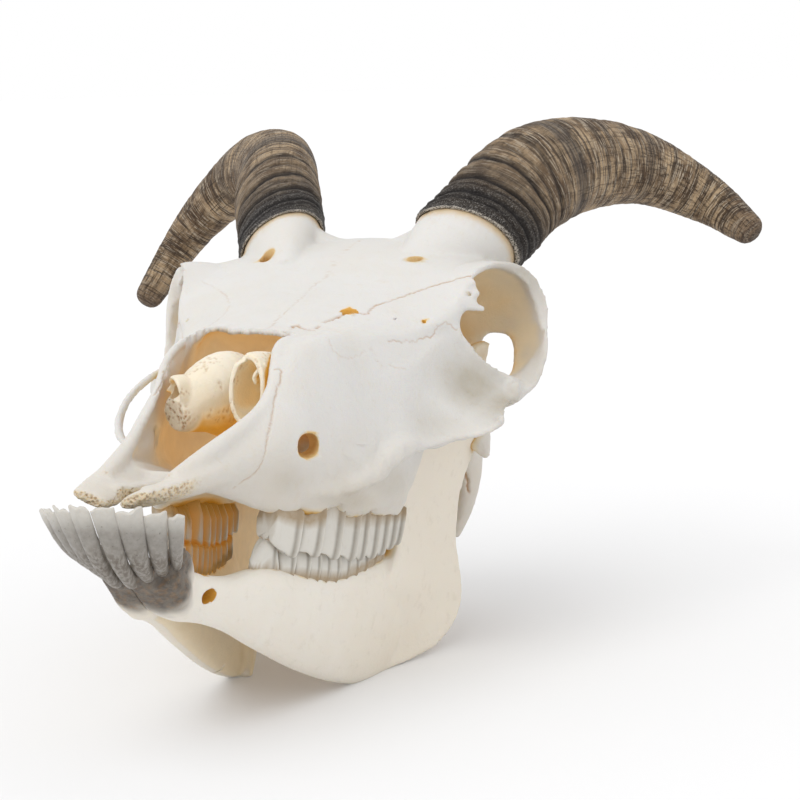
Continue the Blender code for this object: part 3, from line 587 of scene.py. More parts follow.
def skullBase():
    basilar = [(0, 118, 31), (0, 150, 28), (0, 186, 29)]
    made = [bar("basilar", basilar, (20, 22, 26), (10, 11, 12), towards=(1, 0, 0))]
    made += twoBalls("earCapsule", (19, 158, 22), (7.5, 11, 8.5), (0, 20, 0))
    made += twoBalls("condyle", (12.5, 189, 33), (9, 8.5, 11), (20, 0, 20))
    jugular = [(28, 174, 46), (29, 177, 31), (26.5, 179, 18), (22.5, 179, 7)]
    made += bothSides("jugular", jugular, (20, 13, 9, 5.5), (8, 6, 5, 4), towards=(0.2, 1, 0))
    nape = [(-31, 172, 58), (-22, 181, 77), (0, 185.5, 85), (22, 181, 77), (31, 172, 58)]
    made.append(bar("nape", nape, (12, 9, 9, 9, 12), (7, 7, 8, 7, 7), towards=(0, 0.8, 0.6), count=24))
    made += twoBalls("mastoid", (28.5, 170, 50), (6.5, 9, 16), (10, 0, 0))
    wing = [(15, 70, 22), (13.5, 92, 24), (13, 114, 29)]
    return made + bothSides("wing", wing, (22, 30, 26), (5, 3.6, 4), towards=(0.1, 0, 1))


def noseHollow():
    # the airway, open in front and above, where the nasal bones are lost
    airway = trunk("airway", [
        (-56, 19.5, 6.0, 22.0, 8.0, 30.0, 9.0, 19.0, 34.0),
        (-44, 19.5, 7.0, 22.0, 9.5, 34.0, 10.0, 19.0, 38.0),
        (-20, 19.0, 11.0, 23.0, 14.5, 40.0, 13.5, 19.0, 44.0),
        (-6, 20.0, 14.0, 26.0, 20.0, 42.0, 17.0, 20.0, 50.0),
        (4, 20.5, 17.0, 28.0, 24.5, 50.0, 17.5, 20.5, 54.0),
        (14, 21.0, 20.0, 29.0, 27.5, 57.0, 19.0, 21.0, 61.0),
        (24, 21.5, 22.0, 30.0, 30.5, 61.5, 23.5, 21.0, 65.4),
        (38, 22.0, 23.0, 30.0, 32.0, 65.3, 27.3, 21.5, 69.6),
        (50, 23.0, 18.0, 32.0, 28.0, 66.5, 27.0, 22.0, 73.4),
        (60, 27.0, 12.0, 36.0, 22.0, 58.0, 18.0, 26.0, 70.0)])
    throat = [(0, 58, 36), (0, 76, 32), (0, 94, 28), (0, 112, 24), (0, 122, 18)]
    passage = bar("throat", throat, (19, 19, 18, 18, 18), (18, 16, 14, 14, 12), towards=(1, 0, 0))
    # the side walls are thinned from inside
    thin = [(10.5, -42, 25), (15.8, -22, 31), (20.2, -6, 37), (22.8, 6, 43), (25.0, 18, 49)]
    right = bar("thin", flipped(thin), (8, 12, 16, 19, 20), (5, 6, 6, 6, 6))
    left = bar("thin", thin, (7, 10, 12, 14, 14), (4, 4.5, 4.5, 4.5, 4.5))
    return [airway, passage, right, left]


def lostRoof(short):
    # where the nasal bones are gone, with the torn edge of the frontal bones behind
    brink = [(-26.6, 30), (-26.4, 34), (-24.5, 41), (-21.0, 43.6), (-17.5, 42), (-14, 38.6),
             (-10.5, 38.2), (-7.2, 34.8), (-4, 36), (-1, 34.6), (2, 33.6), (5, 32.4), (8.5, 30.5),
             (12, 30.5)]
    left = [(12.6, 23), (13.0, 14), (15.6, 5), (17.8, -2), (18.0, -10), (16.8, -22), (14.8, -35),
            (12.8, -48), (11, -60), (11, -82)]
    right = [(-11, -82), (-11, -60), (-12.8, -48), (-14.8, -35), (-17.8, -22), (-20.0, -10),
             (-21.6, -2), (-23.2, 5), (-25.4, 17), (-26.6, 27)]
    top, low, roofLow, back = 84.0, 22.0, 58.0, 2.0
    if short:      # a first rough opening, a little short of the torn edge
        return prism("roof", [(x, y - back) for x, y in brink] + left + right, low, top)
    edge = [tuple(p) for p in torn(brink, 0.34, 0.8, 5)]
    turn = next(k for k in range(len(edge) - 1, 0, -1) if edge[k][0] > 10.0)
    return prism("torn", edge[:turn] + [(10, 18), (-22, 18)], roofLow, top)


def inNose():
    # what is added once the hollows are cut, first the low shelf along the nose's inner wall
    shelf = [(8.6, -44, 18), (8.6, -34, 19.8), (8.8, -18, 23.6), (9.2, -4, 29), (9.8, 6, 33),
             (13, 18, 36)]
    made = [bar("shelf", shelf, (4, 5, 6, 6, 6, 6), (5, 5.5, 6, 6.5, 7, 8))]
    # the knobs and the pointed lobe on the front rim of the left eye socket
    for centre, radii in (((55.6, 85.9, 89.0), (2.0, 2.2, 1.9)), ((54.8, 84.8, 92.4), (1.7, 1.9, 1.6))):
        made.append(ball("knob", centre, radii, (0, 0, 35)))
    lobe = [(50.0, 80.4, 85.6), (54.4, 84.8, 84.8), (58.6, 89.2, 83.6)]
    made.append(bar("lobe", lobe, (4.4, 4.6, 2.0), (3.2, 3.0, 1.8)))
    return made


def socketHollows():
    made = []
    for side in (1, -1):
        axes = socketAxes(side)
        size = (27.2, socket["halfLong"] - 1.3, socket["halfHigh"] - 1.2)
        made.append(ball("socket", socketCentre(side) - axes[0] * 9, size, axes=axes))
    window = [(58.5, 100, 68.0), (55.0, 118, 70.2), (50, 134, 72.4)]
    made += bothSides("window", window, (12, 12, 12), (16, 16.5, 16.5), towards=(1, 0.3, 0), power=3.0)
    funnel = [(50, 104, 82), (38, 112, 78), (28, 120, 72)]
    return made + bothSides("funnel", funnel, (26, 20, 10), (22, 18, 8))


def smallHollows():
    made = [ball("brain", (0, 149, 69), (27.5, 35, 25), (14, 0, 0))]
    wayOut = [(0, 160, 56), (0, 178, 46), (0, 204, 38)]
    made.append(bar("brainWay", wayOut, (20, 19, 19), (20, 18, 18), towards=(1, 0, 0)))
    return made


def foramina():
    # the openings for nerves and vessels, as short bars that run in at a slant
    made = bothSides("cheekHole", [(41, -13, 28.5), (31, -1.5, 29.8), (21, 13, 33)], (11, 9.2, 5.4),
                     (9, 8, 5.6), towards=(0.8, 0.6, 0))
    brow = [(27.6, 99, 106), (28.6, 102.6, 102.4), (29.6, 107, 98)]
    made += bothSides("browHole", brow, (6.6, 5.2, 3.2), (6.2, 4.8, 2.8), towards=(0, 1, 0.8))
    made += bothSides("tearHole", [(46, 66, 80), (42, 70, 75)], 1.5, 1.2)
    made.append(bar("cheekDot", [(61, 66, 56), (56, 70.5, 52.5)], 1.3, 1.0))
    made.append(bar("cheekSlit", [(61, 62.5, 48), (56, 67, 47)], 2.4, 0.9, towards=(0.4, 0.5, 0.9)))
    made.append(bar("rimDot", [(51.5, 79, 91), (55.5, 86, 87.4)], 1.2, 1.2))
    return made


# horns
horns = {
    "wall": ((-0.2, 0.0, 0.04, 0.2), (0.9, 1.0, 2.4, 2.6)),      # shares of the length, thickness there
    "fit": 0.75,        # more than the wall, so that the core stands clear of it
    "rim": -0.008, "hollow": 0.62, "reach": 0.2,      # shares: edge, end of the hollow, core's end
    "flat": (0.78, 0.92),       # height to width of the section, at the foot and at the tip
    "radii": (21.2, 20.2, 17.4, 14.0, 9.8, 5.6),
    "left": [(37.5, 129, 114.2), (55, 153.5, 140), (69.5, 184, 151.5), (85.5, 211, 153.5),
             (107.5, 225.5, 143.5), (128, 221, 128.5)],
    "right": [(-35.5, 129, 115), (-48, 158, 134), (-62, 189, 151), (-85, 215, 154.5),
              (-111, 227, 137), (-132.5, 221, 99.5)],
    # growth grooves: how far along, how deep, how wide
    "grooves": ((3.6, 0.7, 0.7), (7.4, 1.15, 0.9), (11.2, 0.5, 0.6), (15.0, 1.25, 1.0),
                (19.4, 0.45, 0.7), (24.2, 1.05, 1.0), (29.5, 0.5, 0.8), (35.5, 0.75, 1.1),
                (43.0, 0.4, 1.0), (52.0, 0.35, 1.4)),
    # how the foot is shifted all round, below the horn and in front of it, fading out along it
    "foot": {1: ((0.75, 0, -1.45), (3.85, 0, 4.75), (3.85, 0, 4.75)),
             -1: ((2.0, 0, -2.0), (2.0, 4.0, 6.5), (-0.25, 0, 7.8))}, "footReach": 46.0,
    "rings": 460, "around": 128, "coreSides": 32}


def hornFrames(points):
    # places along the horn with its way and the short axis of its section
    places, ways, keys, samples = followed(points, 60)      # one every 3 mm or so
    lean = Vector(points[-1]) - Vector(points[0])
    axis = np.array(Vector((lean.x, lean.y, 0)).normalized().cross(Vector((0, 0, 1))))
    axes = []
    for way in ways:
        axis = axis - way * (axis @ way)
        axis = axis / np.linalg.norm(axis)
        axes.append(axis)
    radii = keyed(keys, horns["radii"], samples)
    return places, ways, np.array(axes), radii, samples


def hornRings(points, shares, wall, sides, relief=None):
    places, ways, axes, radii, samples = hornFrames(points)
    length = samples[-1]
    rings = []
    angles = 2 * math.pi * np.arange(sides) / sides
    for u in shares:
        reach = [max(u, 0.0) * length]
        way = keyed(samples, ways, reach)[0]
        way /= np.linalg.norm(way)
        place = keyed(samples, places, reach)[0] + way * min(u, 0.0) * length
        short = keyed(samples, axes, reach)[0]
        short -= way * (short @ way)
        short /= np.linalg.norm(short)
        long = np.cross(way, short)
        radius = np.interp(u * length, samples, radii)
        flat = horns["flat"][0] + (horns["flat"][1] - horns["flat"][0]) * u
        out = relief(u * length, angles) if relief else np.zeros(sides)
        out = out - np.interp(u, *wall)
        ring = (place + np.outer(np.cos(angles) * (radius + out), long)
                + np.outer(np.sin(angles) * (radius * flat + out), short))
        rings.append((place, way, ring))
    return rings


def unrolled(spots, points):
    # where places lie on the horn: how far along, and how far off along its two axes
    places, ways, axes, radii, samples = hornFrames(points)
    dense = np.linspace(0, samples[-1], len(places) * 8)
    path = keyed(samples, places, dense)
    tree = kdtree.KDTree(len(dense))
    for i, p in enumerate(path):
        tree.insert(Vector(p), i)
    tree.balance()
    index = np.array([tree.find(Vector(p))[1] for p in spots])
    way, short = keyed(samples, ways, dense)[index], keyed(samples, axes, dense)[index]
    rel = spots - path[index]
    reach = dense[index] + (rel * way).sum(1)
    a, b = (rel * np.cross(way, short)).sum(1), (rel * short).sum(1)
    return reach, a, b, np.interp(dense, samples, radii)[index], samples[-1]


def footShifted(body, points):
    # the foot of the horn follows the forehead
    side = 1 if points[0][0] > 0 else -1
    spots = placesOf(body.data)
    reach, a, b, wide, _ = unrolled(spots, points)
    whole, below, before = (np.array(v, float) for v in horns["foot"][side])
    share = (1 - eased(reach, 0, horns["footReach"]))[:, None]
    a, b = np.clip(a / wide, -1, 1), np.clip(b / wide / 0.8, -1, 1)
    if side > 0:
        b = np.maximum(b, 0)
    setPlaces(body.data, spots + share * (whole + np.outer(a, below) + np.outer(b, before)))


def hornCore(points):
    # the bony peg inside the sheath's foot, rising from a collar sunk in the forehead
    collar = []
    for sunk, reach in ((8.6, -0.18), (5.4, -0.10), (3.2, -0.05), (2.3, horns["rim"] - 0.01)):
        collar += hornRings(points, [reach], ((0, 1), (sunk, sunk)), horns["coreSides"])
    keys, walls = horns["wall"]
    peg = hornRings(points, np.linspace(horns["rim"], horns["reach"], 6),
                    (keys, [wall + horns["fit"] for wall in walls]), horns["coreSides"])
    rings = [ring for _, _, ring in collar + peg]
    place, way, last = peg[-1]
    rings.append(place + (last - place) * 0.5 + way * 5)
    core = lofted("core", rings)
    footShifted(core, points)
    return core


# teeth
# front and rear end of every lobe, tooth by tooth
cheekTeeth = {
    "upper": [[(-2.2, 10.6)], [(10.8, 22.3)], [(22.5, 33.0)], [(33.2, 43.0), (43.0, 48.8)],
              [(49.0, 57.0), (57.0, 63.9)], [(64.1, 70.5), (70.5, 76.0)]],
    "lower": [[(-7.5, 5.8)], [(6.0, 13.9)], [(14.1, 22.3), (22.3, 28.0)], [(28.2, 33.6), (33.6, 39.5)],
              [(39.7, 46.0), (46.0, 52.0)], [(52.2, 58.5), (58.5, 65.0), (65.0, 71.0)]],
    "width": 6.5, "gain": 5.5, "gainOver": 34.0,      # width across, and how it grows from front to back
    "step": 0.33, "cornerReach": 1.1, "rootDepth": 4.0, "lean": 0.012}


def cheekLine(y):
    return keyed([-4, 20, 45, 76], [20.7, 27.0, 32.3, 36.0], y)


def biteLine(y):
    return keyed([-6, 2, 18, 41, 60, 72], [0.8, -2.4, -2.6, -3.0, -1.2, 2.4], y)


def gumLine(y):
    # lower edge of the upper jaw bone, raised over the third tooth
    base = keyed([-12, -4, 12, 35, 50, 71, 80], [8.4, 7.7, 7.4, 9.6, 10.6, 11.7, 12.0], y)
    return base + 4.6 * np.exp(-((y - 26.5) / 4.2) ** 2) - 1.7 * np.exp(-((y - 14.5) / 2.4) ** 2)


def lowerGum(y):
    return keyed([-10, 4, 21, 33, 47.6, 61.5, 70, 80], [-9, -9.2, -9.9, -10.5, -8.2, -4.1, -1, 3], y)


def toothWidth(y):
    return cheekTeeth["width"] + cheekTeeth["gain"] * min(1.0, max(y, 0.0) / cheekTeeth["gainOver"])


def lobeProfile(t, upper):
    # how far the outer face stands out across one lobe, front to back: a plain slanting panel
    # with a thin upright rib at its end
    rib = np.exp(-((t - 0.88) / 0.07) ** 2)
    front = np.exp(-((t - 0.06) / 0.06) ** 2)
    if upper:
        return -1.5 + 1.5 * t ** 1.3 + 1.25 * rib + 0.2 * front - 2.2 * eased(t, 0.93, 1.0)
    return -1.4 + 1.8 * t ** 1.2 + 0.8 * rib - 2.2 * eased(t, 0.92, 1.0)


def upperSection(y, t, index, width):
    # outline of an upper tooth across the row, from its outer root round the cusps to the inner root
    swell = math.sin(math.pi * min(1, max(0, t)))
    bold = 0.55 if index == 0 else 0.85 if index == 1 else 1.0
    outer = float(cheekLine(y)[0]) - 0.2 + bold * float(lobeProfile(t, True))
    tip = float(biteLine(y)[0]) + 0.4 - 0.8 * swell - 2.0 * math.exp(-((t - 0.80) / 0.18) ** 2)
    root = float(gumLine(y)[0]) + cheekTeeth["rootDepth"]
    inner = outer - width
    meet = tip + 1.2
    return [(outer + 1.7, root), (outer + 1.5, root - 3), (outer + 0.7, tip + 4), (outer, tip + 1.2),
            (outer - 0.35, tip + 0.2), (outer - 0.9, tip), (outer - 1.5, tip + 0.7),
            (outer - 0.3 * width, meet + 1.2), (outer - 0.48 * width, meet + 0.2),
            (outer - 0.6 * width, meet - 0.3 + 1.2 * swell), (outer - 0.8 * width, meet + 1.8),
            (inner + 0.9, meet + 1.0), (inner + 0.2, meet + 1.6), (inner, meet + 3), (inner - 0.3, root)]


def lowerSection(y, t, index, width):
    swell = math.sin(math.pi * min(1, max(0, t)))
    outer = float(cheekLine(y)[0]) - 3.4 + float(lobeProfile(t, False))
    tip = float(biteLine(y)[0]) + 1.0 * swell - 0.2
    if index == 0:      # the first one is a single leaf-shaped point
        outer = float(cheekLine(y)[0]) - 3.9 + 0.9 * swell
        tip = 1.9 - 9.0 * abs((y - 2.6) / (10.4 if y < 2.6 else 3.6)) ** 1.7
        width = 5.2 * (0.35 + 0.65 * swell)
    root = float(lowerGum(y)[0]) - cheekTeeth["rootDepth"]
    inner = outer - width * 0.75
    foot = float(cheekLine(y)[0]) - (3.7 if index else 3.5)
    tip = max(tip, root + 4.2)
    low = max(root + 3, tip - 5)
    return [(foot, root), ((outer + foot) / 2 + 0.3, low), (outer + 0.1, tip - 2),
            (outer - 0.3, tip - 0.5), (outer - 0.9, tip), (outer - 1.6, tip + 0.3),
            (outer - 0.3 * width, tip + 0.3), ((outer + inner) / 2, tip), (inner + 0.9, tip + 0.6),
            (inner + 0.3, tip + 0.1), (inner, tip - 2), (inner, low), (inner, root)]


def toothRow(side, upper):
    section = upperSection if upper else lowerSection
    bodies = []
    rng = np.random.default_rng(11 if upper else 23)
    for index, lobes in enumerate(cheekTeeth["upper" if upper else "lower"]):
        start, end = lobes[0][0], lobes[-1][1]
        rings = []
        for y in np.arange(start, end + 0.01, cheekTeeth["step"]):
            a, b = next(((a, b) for a, b in lobes if y <= b + 1e-6), lobes[-1])
            fromEnd = min(y - start, end - y)
            narrow = 1 - max(0.0, 1 - fromEnd / cheekTeeth["cornerReach"]) ** 2 * 0.45
            ring = section(y, (y - a) / (b - a), index, toothWidth(y) * narrow)
            rings.append([(x * side, y, z) for x, z in ring])
        middle = np.mean(rings[len(rings) // 2], axis=0)
        tooth = lofted("tooth", rings)
        turn = Matrix.Rotation(rng.normal(0, cheekTeeth["lean"]), 4, "X")
        tooth.data.transform(Matrix.Translation(middle) @ turn @ Matrix.Translation(-Vector(middle)))
        bodies.append(tooth)
    name = ("upper" if upper else "lower") + "_cheek_teeth_" + ("left" if side > 0 else "right")
    row = gathered(name, bodies)
    ease = row.modifiers.new("round", "SUBSURF")
    ease.levels = ease.render_levels = 1
    return settled(row)


def socketsFor(side):
    # the room for the upper teeth, with the bone's scalloped edge
    rings = []
    for y in np.arange(-2.4, 76.4, 0.5):
        outer = float(cheekLine(y)[0])
        width = toothWidth(y)
        top = float(gumLine(y)[0]) + 0.35 * noise.noise(Vector((y / 2.2, side * 9.0, 0)))
        inner, below = outer - width + 0.5, -6
        ring = [(outer + 7, below), (outer + 7, top), (outer + 1.0, top + 0.1), (inner, top + 1.0),
                (inner, below)]
        rings.append([(x * side, y, z) for x, z in ring])
    return lofted("sockets", rings)


incisors = {
    "centres": (3.75, 10.75, 16.8, 21.2), "halves": (3.58, 3.98, 3.5, 2.6),      # of the four spades
    "front": -92.0, "arc": 0.0295, "sag": 3.6, "sides": 20,
    # shares of the length, with the shares of the half width and the depth there
    "shares": (0.0, 0.15, 0.3, 0.42, 0.54, 0.66, 0.77, 0.86, 0.93, 0.98, 1.0),
    "spread": (0.58, 0.62, 0.67, 0.73, 0.79, 0.86, 0.92, 0.965, 0.99, 1.0, 0.985),
    "deep": (2.4, 2.4, 2.3, 2.15, 1.95, 1.7, 1.4, 1.1, 0.85, 0.7, 0.5)}


def incisorEdge(x):
    # how far forward the row of tips stands
    return incisors["front"] + incisors["arc"] * x ** 2


def incisor(index, side):
    # a long curved spade on a narrow root
    tipX, half = incisors["centres"][index], incisors["halves"][index]
    tip = np.array([tipX, incisorEdge(tipX), 5.8 - 0.45 * index])
    root = np.array([2.4 + 3.3 * index, -64.0 + 2.4 * index, -15.0 + 2.1 * index])
    slope = 2 * incisors["arc"] * tipX
    tipAcross = np.array([1.0, slope, 0.0]) / math.hypot(1, slope)
    sag, sides = incisors["sag"], incisors["sides"]
    rings = []
    for t, wide, depth in zip(incisors["shares"], incisors["spread"], incisors["deep"]):
        place = root * (1 - t) + tip * t
        place[2] -= sag * math.sin(math.pi * t)
        way = tip - root
        way[2] -= sag * math.pi * math.cos(math.pi * t)
        way /= np.linalg.norm(way)
        across = tipAcross - way * (tipAcross @ way)
        across /= np.linalg.norm(across)
        through = np.cross(way, across)
        if through[1] > 0:
            through = -through
        ring = []
        for k in range(sides):
            angle = 2 * math.pi * k / sides
            c = math.copysign(abs(math.cos(angle)) ** 0.8, math.cos(angle))
            s = math.sin(angle)
            bulge = depth * (s if s > 0 else 0.75 * s)
            curl = -0.10 * (c * half * wide) ** 2 / max(half, 1) * (0.5 + 0.5 * t)
            ring.append(place + across * c * half * wide + through * (bulge + curl))
        rings.append([(max(p[0], 0.12) * side, p[1], p[2]) for p in ring])
    tooth = lofted("incisor", rings)
    ease = tooth.modifiers.new("round", "SUBSURF")
    ease.levels = ease.render_levels = 2
    tooth = settled(tooth)
    places = placesOf(tooth.data)
    high = eased(places[:, 2], tip[2] - 3.0, tip[2])      # the worn edge is uneven
    places[:, 2] += high * 0.9 * wave(places * (1, 1, 0), 2.4, 5 + index)
    places += normalsOf(tooth.data) * 0.1 * wave(places * (1, 1, 0.4), 1.6, 9)[:, None]
    setPlaces(tooth.data, places)
    return tooth


# lower jaws
jawBone = {"voxel": 1.0, "smoothing": 5, "rest": 60.4,      # rest: how far down the table lies
           "blade": 2.6, "bladeVoxel": 1.2}                 # half the rear blade's thickness, its voxel


def ramusLean(y, z):
    # how far out the rear blade of the jaw stands
    above = keyed([-10, 20, 36, 52, 80], [36.5, 35.8, 38.5, 43.8, 52.0], np.maximum(z, -10))
    above += (y - 130.0) * 0.08
    below = 23.5 + (y - 88.0) * 0.36
    bulge = 2.6 * np.exp(-((z + 18.0) / 12.0) ** 2) * eased(y, 116.0, 134.0)
    return below + (above - below) * eased(z, -38.0, -8.0) + bulge


def ramus(side):
    outline = [
        (72, -8), (78.5, 0), (80.5, 10), (82.5, 22), (88, 36), (96, 50), (103, 63), (110, 73.5),
        (119, 76.5), (122.5, 66), (122, 57), (126, 49), (132, 50), (139, 50), (140.5, 43), (137, 33),
        (133.5, 20), (133, 4), (134, -8), (131, -18), (125.5, -27), (117, -33.6), (103, -38.8),
        (88, -42.6), (70, -46.5)]
    half = jawBone["blade"]
    blade = fused("ramus", [prism("ramus", outline, -half, half, axis=0)], jawBone["bladeVoxel"], 2)
    places = placesOf(blade.data)
    rim = 1.0 + 0.35 * np.clip((-20 - places[:, 2]) / 12, 0, 1)
    places[:, 0] = (places[:, 0] * rim + ramusLean(places[:, 1], places[:, 2])) * side
    setPlaces(blade.data, places)
    if side < 0:
        blade.data.flip_normals()
    return blade


def jaw(name, side):
    body = [
        (6.8, -42, -18.0), (8.8, -32, -18.7), (11.2, -18, -19.7), (14.0, -4, -20.0),
        (16.6, 14, -22.5), (19.5, 34, -25.0), (23.0, 57, -25.3), (26.0, 76, -24.5), (29.0, 92, -20.0)]
    heights = (16, 15, 17, 24, 28.5, 33.5, 41, 44, 44)
    widths = (9, 9, 9.5, 10, 10.5, 11, 12, 10.5, 7)
    spade = [(6.0, -36, -19.5), (5.8, -46, -18.4), (5.8, -54, -15.2), (5.6, -61, -12.4)]
    spread = (12, 15, 19, 19)
    if side < 0:      # the right half of the chin is narrower
        spade = [(6.0, -36, -19.5), (4.6, -46, -18.4), (3.4, -54, -15.2), (3.2, -61, -12.4)]
        spread = (12, 13.5, 14.5, 14)

    def placed(points):
        return [(x * side, y, z) for x, y, z in points]

    made = [bar("body", placed(body), heights, widths, towards=(0.2 * side, 0, 1), power=2.6, count=30)]
    boxy = 2.8 if side > 0 else 2.2
    made.append(bar("spade", placed(spade), spread, (13, 12, 10, 7.5), towards=(1, 0, 0), power=boxy))
    for index in range(4):      # bone swells round the root of each front tooth
        root = np.array([2.6 + 2.9 * index, -62.0 + 2.4 * index, -14.2 + 2.2 * index])
        tipX = incisors["centres"][index]
        tip = np.array([tipX, incisorEdge(tipX), 5.0])
        swell = [root, root + (tip - root) * 0.14, root + (tip - root) * (0.25 + 0.03 * index)]
        swell = [(x, y + 0.6, z - 1.2 * k) for k, (x, y, z) in enumerate(swell)]
        made.append(bar("swell", placed(swell), (7.2, 7.0, 6.0), (6.8, 6.6, 5.6), towards=(1, 0, 0),
                        power=2.0))
    brim = [(9.5, -44, -14), (11.5, -50, -9.8), (12.8, -55, -6.6), (13.2, -57, -5.6)]
    made.append(bar("brim", placed(brim), (6.5, 6.5, 5.6, 4), (6, 6, 5, 3.6)))
    made.append(ramus(side))
    head = [(33.5, 136, 51.2), (43, 134, 51.2), (52.5, 133, 50.6)]
    made.append(bar("head", placed(head), (7, 10, 7), (5.5, 7.0, 5.5), towards=(0, 1, 0)))
    bone = fused(name, made, jawBone["voxel"], jawBone["smoothing"])
    bone = sliced(bone, Vector((stand["gap"] / 2 * side, 0, 0)), Vector((-side, 0, 0)))
    hole = [(20, -33, -19.6), (12.6, -33.8, -17.8), (6.5, -33, -16.4)]
    bone = worked(bone, bar("chinHole", placed(hole), (11, 7.5, 5), (4.6, 4.4, 4.0),
                            towards=(0, 1, 0.35)))
    groove = [(15.4, -46, -11.6), (15.6, -40, -14.6), (15.2, -35, -17.2)]
    bone = worked(bone, bar("groove", placed(groove), (1.6, 3.2, 4.0), (2.4, 3.6, 4.0)))
    if side < 0:
        hole = [(-28, 44, -46), (-15.7, 47.8, -42.3), (-12, 48, -41.6)]
        bone = worked(bone, bar("jawHole", hole, 2.2, 2.0))
    bone = mainBody(bone)
    slope = math.radians(stand["noseUp"])
    down = Vector((0, math.sin(slope), -math.cos(slope)))
    return sliced(bone, down * jawBone["rest"], down)


# conchae
scroll = {"brokenEnd": (-18.2, 4.6, 39.2), "voxel": 0.5, "tongueVoxel": 0.45, "pit": 1.3, "pitDepth": 0.5}


def rightConcha():
    # a rolled blade whose near end is broken and spongy, with a torn hook over it
    roll = [scroll["brokenEnd"], (-16.4, 8.5, 41), (-13, 15, 45), (-10.5, 23, 47.5), (-9.5, 36, 47.5),
            (-9.5, 50, 46.5)]
    solid = [bar("roll", roll, (11, 15, 23, 28, 28, 16), (9.6, 13, 17.5, 20, 20, 11), sides=40, power=2)]
    blade = [(-19.5, 9, 50.5), (-17.6, 7.6, 51.6), (-15.6, 7.4, 50.6), (-13.8, 8.2, 47.6),
             (-13.2, 9.6, 44)]
    solid.append(bar("blade", blade, (7, 11, 15, 16, 14), (2.0, 2.2, 2.4, 2.8, 4), towards=(0.2, 1, 0.1)))
    crown = [(-16.5, 10, 52), (-13, 16, 53.5), (-11, 26, 56)]
    solid.append(bar("crown", crown, (5, 10, 14), (3, 7, 10), towards=(1, 0, 0)))
    hook = [(-22.6, 9, 47.2), (-21, 8, 48.6), (-19, 7.6, 50.6)]
    solid.append(bar("hook", hook, (2.4, 2.2, 2.6), (1.6, 1.8, 2.2), towards=(0, 1, 0)))
    body = fused("concha_right", solid, scroll["voxel"], 3)
    pocket = [(-19, 2, 47), (-17.5, 9, 46.4), (-15.5, 16, 46)]
    return mainBody(worked(body, bar("pocket", pocket, (5.5, 5.2, 3), (4.6, 4.2, 2.4))))


def leftConcha():
    # an open scroll: a thin shell with a tongue hanging inside its mouth
    roll = [(6.6, 3.4, 47.6), (7.4, 9, 47.8), (9.5, 20, 47.5), (11, 34, 46.5), (11, 48, 46)]
    solid = bar("roll", roll, (23.5, 25.5, 27, 25, 13), (13.4, 14.5, 15.5, 14, 8), sides=40, power=2)
    body = fused("scroll", [solid], scroll["voxel"], 2)
    inside = [(6.6, -2, 47.4), (6.8, 5, 47.4), (8.4, 12, 47.2), (9.6, 19, 47)]
    inside = bar("inside", inside, (19.8, 19.5, 17, 8), (10.0, 10.0, 9.0, 4), sides=40, power=2)
    body = worked(body, inside)
    body = worked(body, ball("bite", (3.5, 3.5, 58.6), (2.6, 3.0, 2.4)))
    tongue = [(11.6, 7, 55.6), (9.8, 6, 54), (8.6, 5.6, 51.4), (9.2, 5.8, 49.6)]
    tongue = bar("tongue", tongue, (5, 4.4, 3, 1.8), (2, 1.8, 1.6, 1.2), towards=(0, 1, 0.3))
    return fused("concha_left", [body, tongue], scroll["tongueVoxel"], 1)


def spongy(body, side):
    # pits all over the right one's broken end, and in loose groups elsewhere
    places = placesOf(body.data)
    gap = np.linalg.norm((places - scroll["brokenEnd"]) / (1.15, 0.8, 1.25), axis=1)
    end = (1 - eased(gap, 4.2, 5.6)) * (side < 0)
    groups = eased(wave(places, 7, 8 + side), 0.18, 0.46) * 0.55
    pits = pitted(body.data, np.maximum(end, groups * (1 - end)), scroll["pit"], scroll["pitDepth"])
    # painted shade in the pits
    painted(body.data, "crack_and_pit_shade", pits * 0.75)


# looks
class Wire:
    # a value in a material; arithmetic on it adds Math nodes
    def __init__(self, look, socket):
        self.look = look
        self.socket = socket

    def __add__(self, other):
        return self.look.maths("ADD", self, other)

    def __sub__(self, other):
        return self.look.maths("SUBTRACT", self, other)

    def __rsub__(self, other):
        return self.look.maths("SUBTRACT", other, self)

    def __mul__(self, other):
        return self.look.maths("MULTIPLY", self, other)

    def over(self, low, high):
        # 0 below low, 1 above high, smooth between
        return self.look.node("ShaderNodeMapRange", {"interpolation_type": "SMOOTHSTEP"},
                              {"Value": self, "From Min": low, "From Max": high})

    __radd__ = __add__
    __rmul__ = __mul__


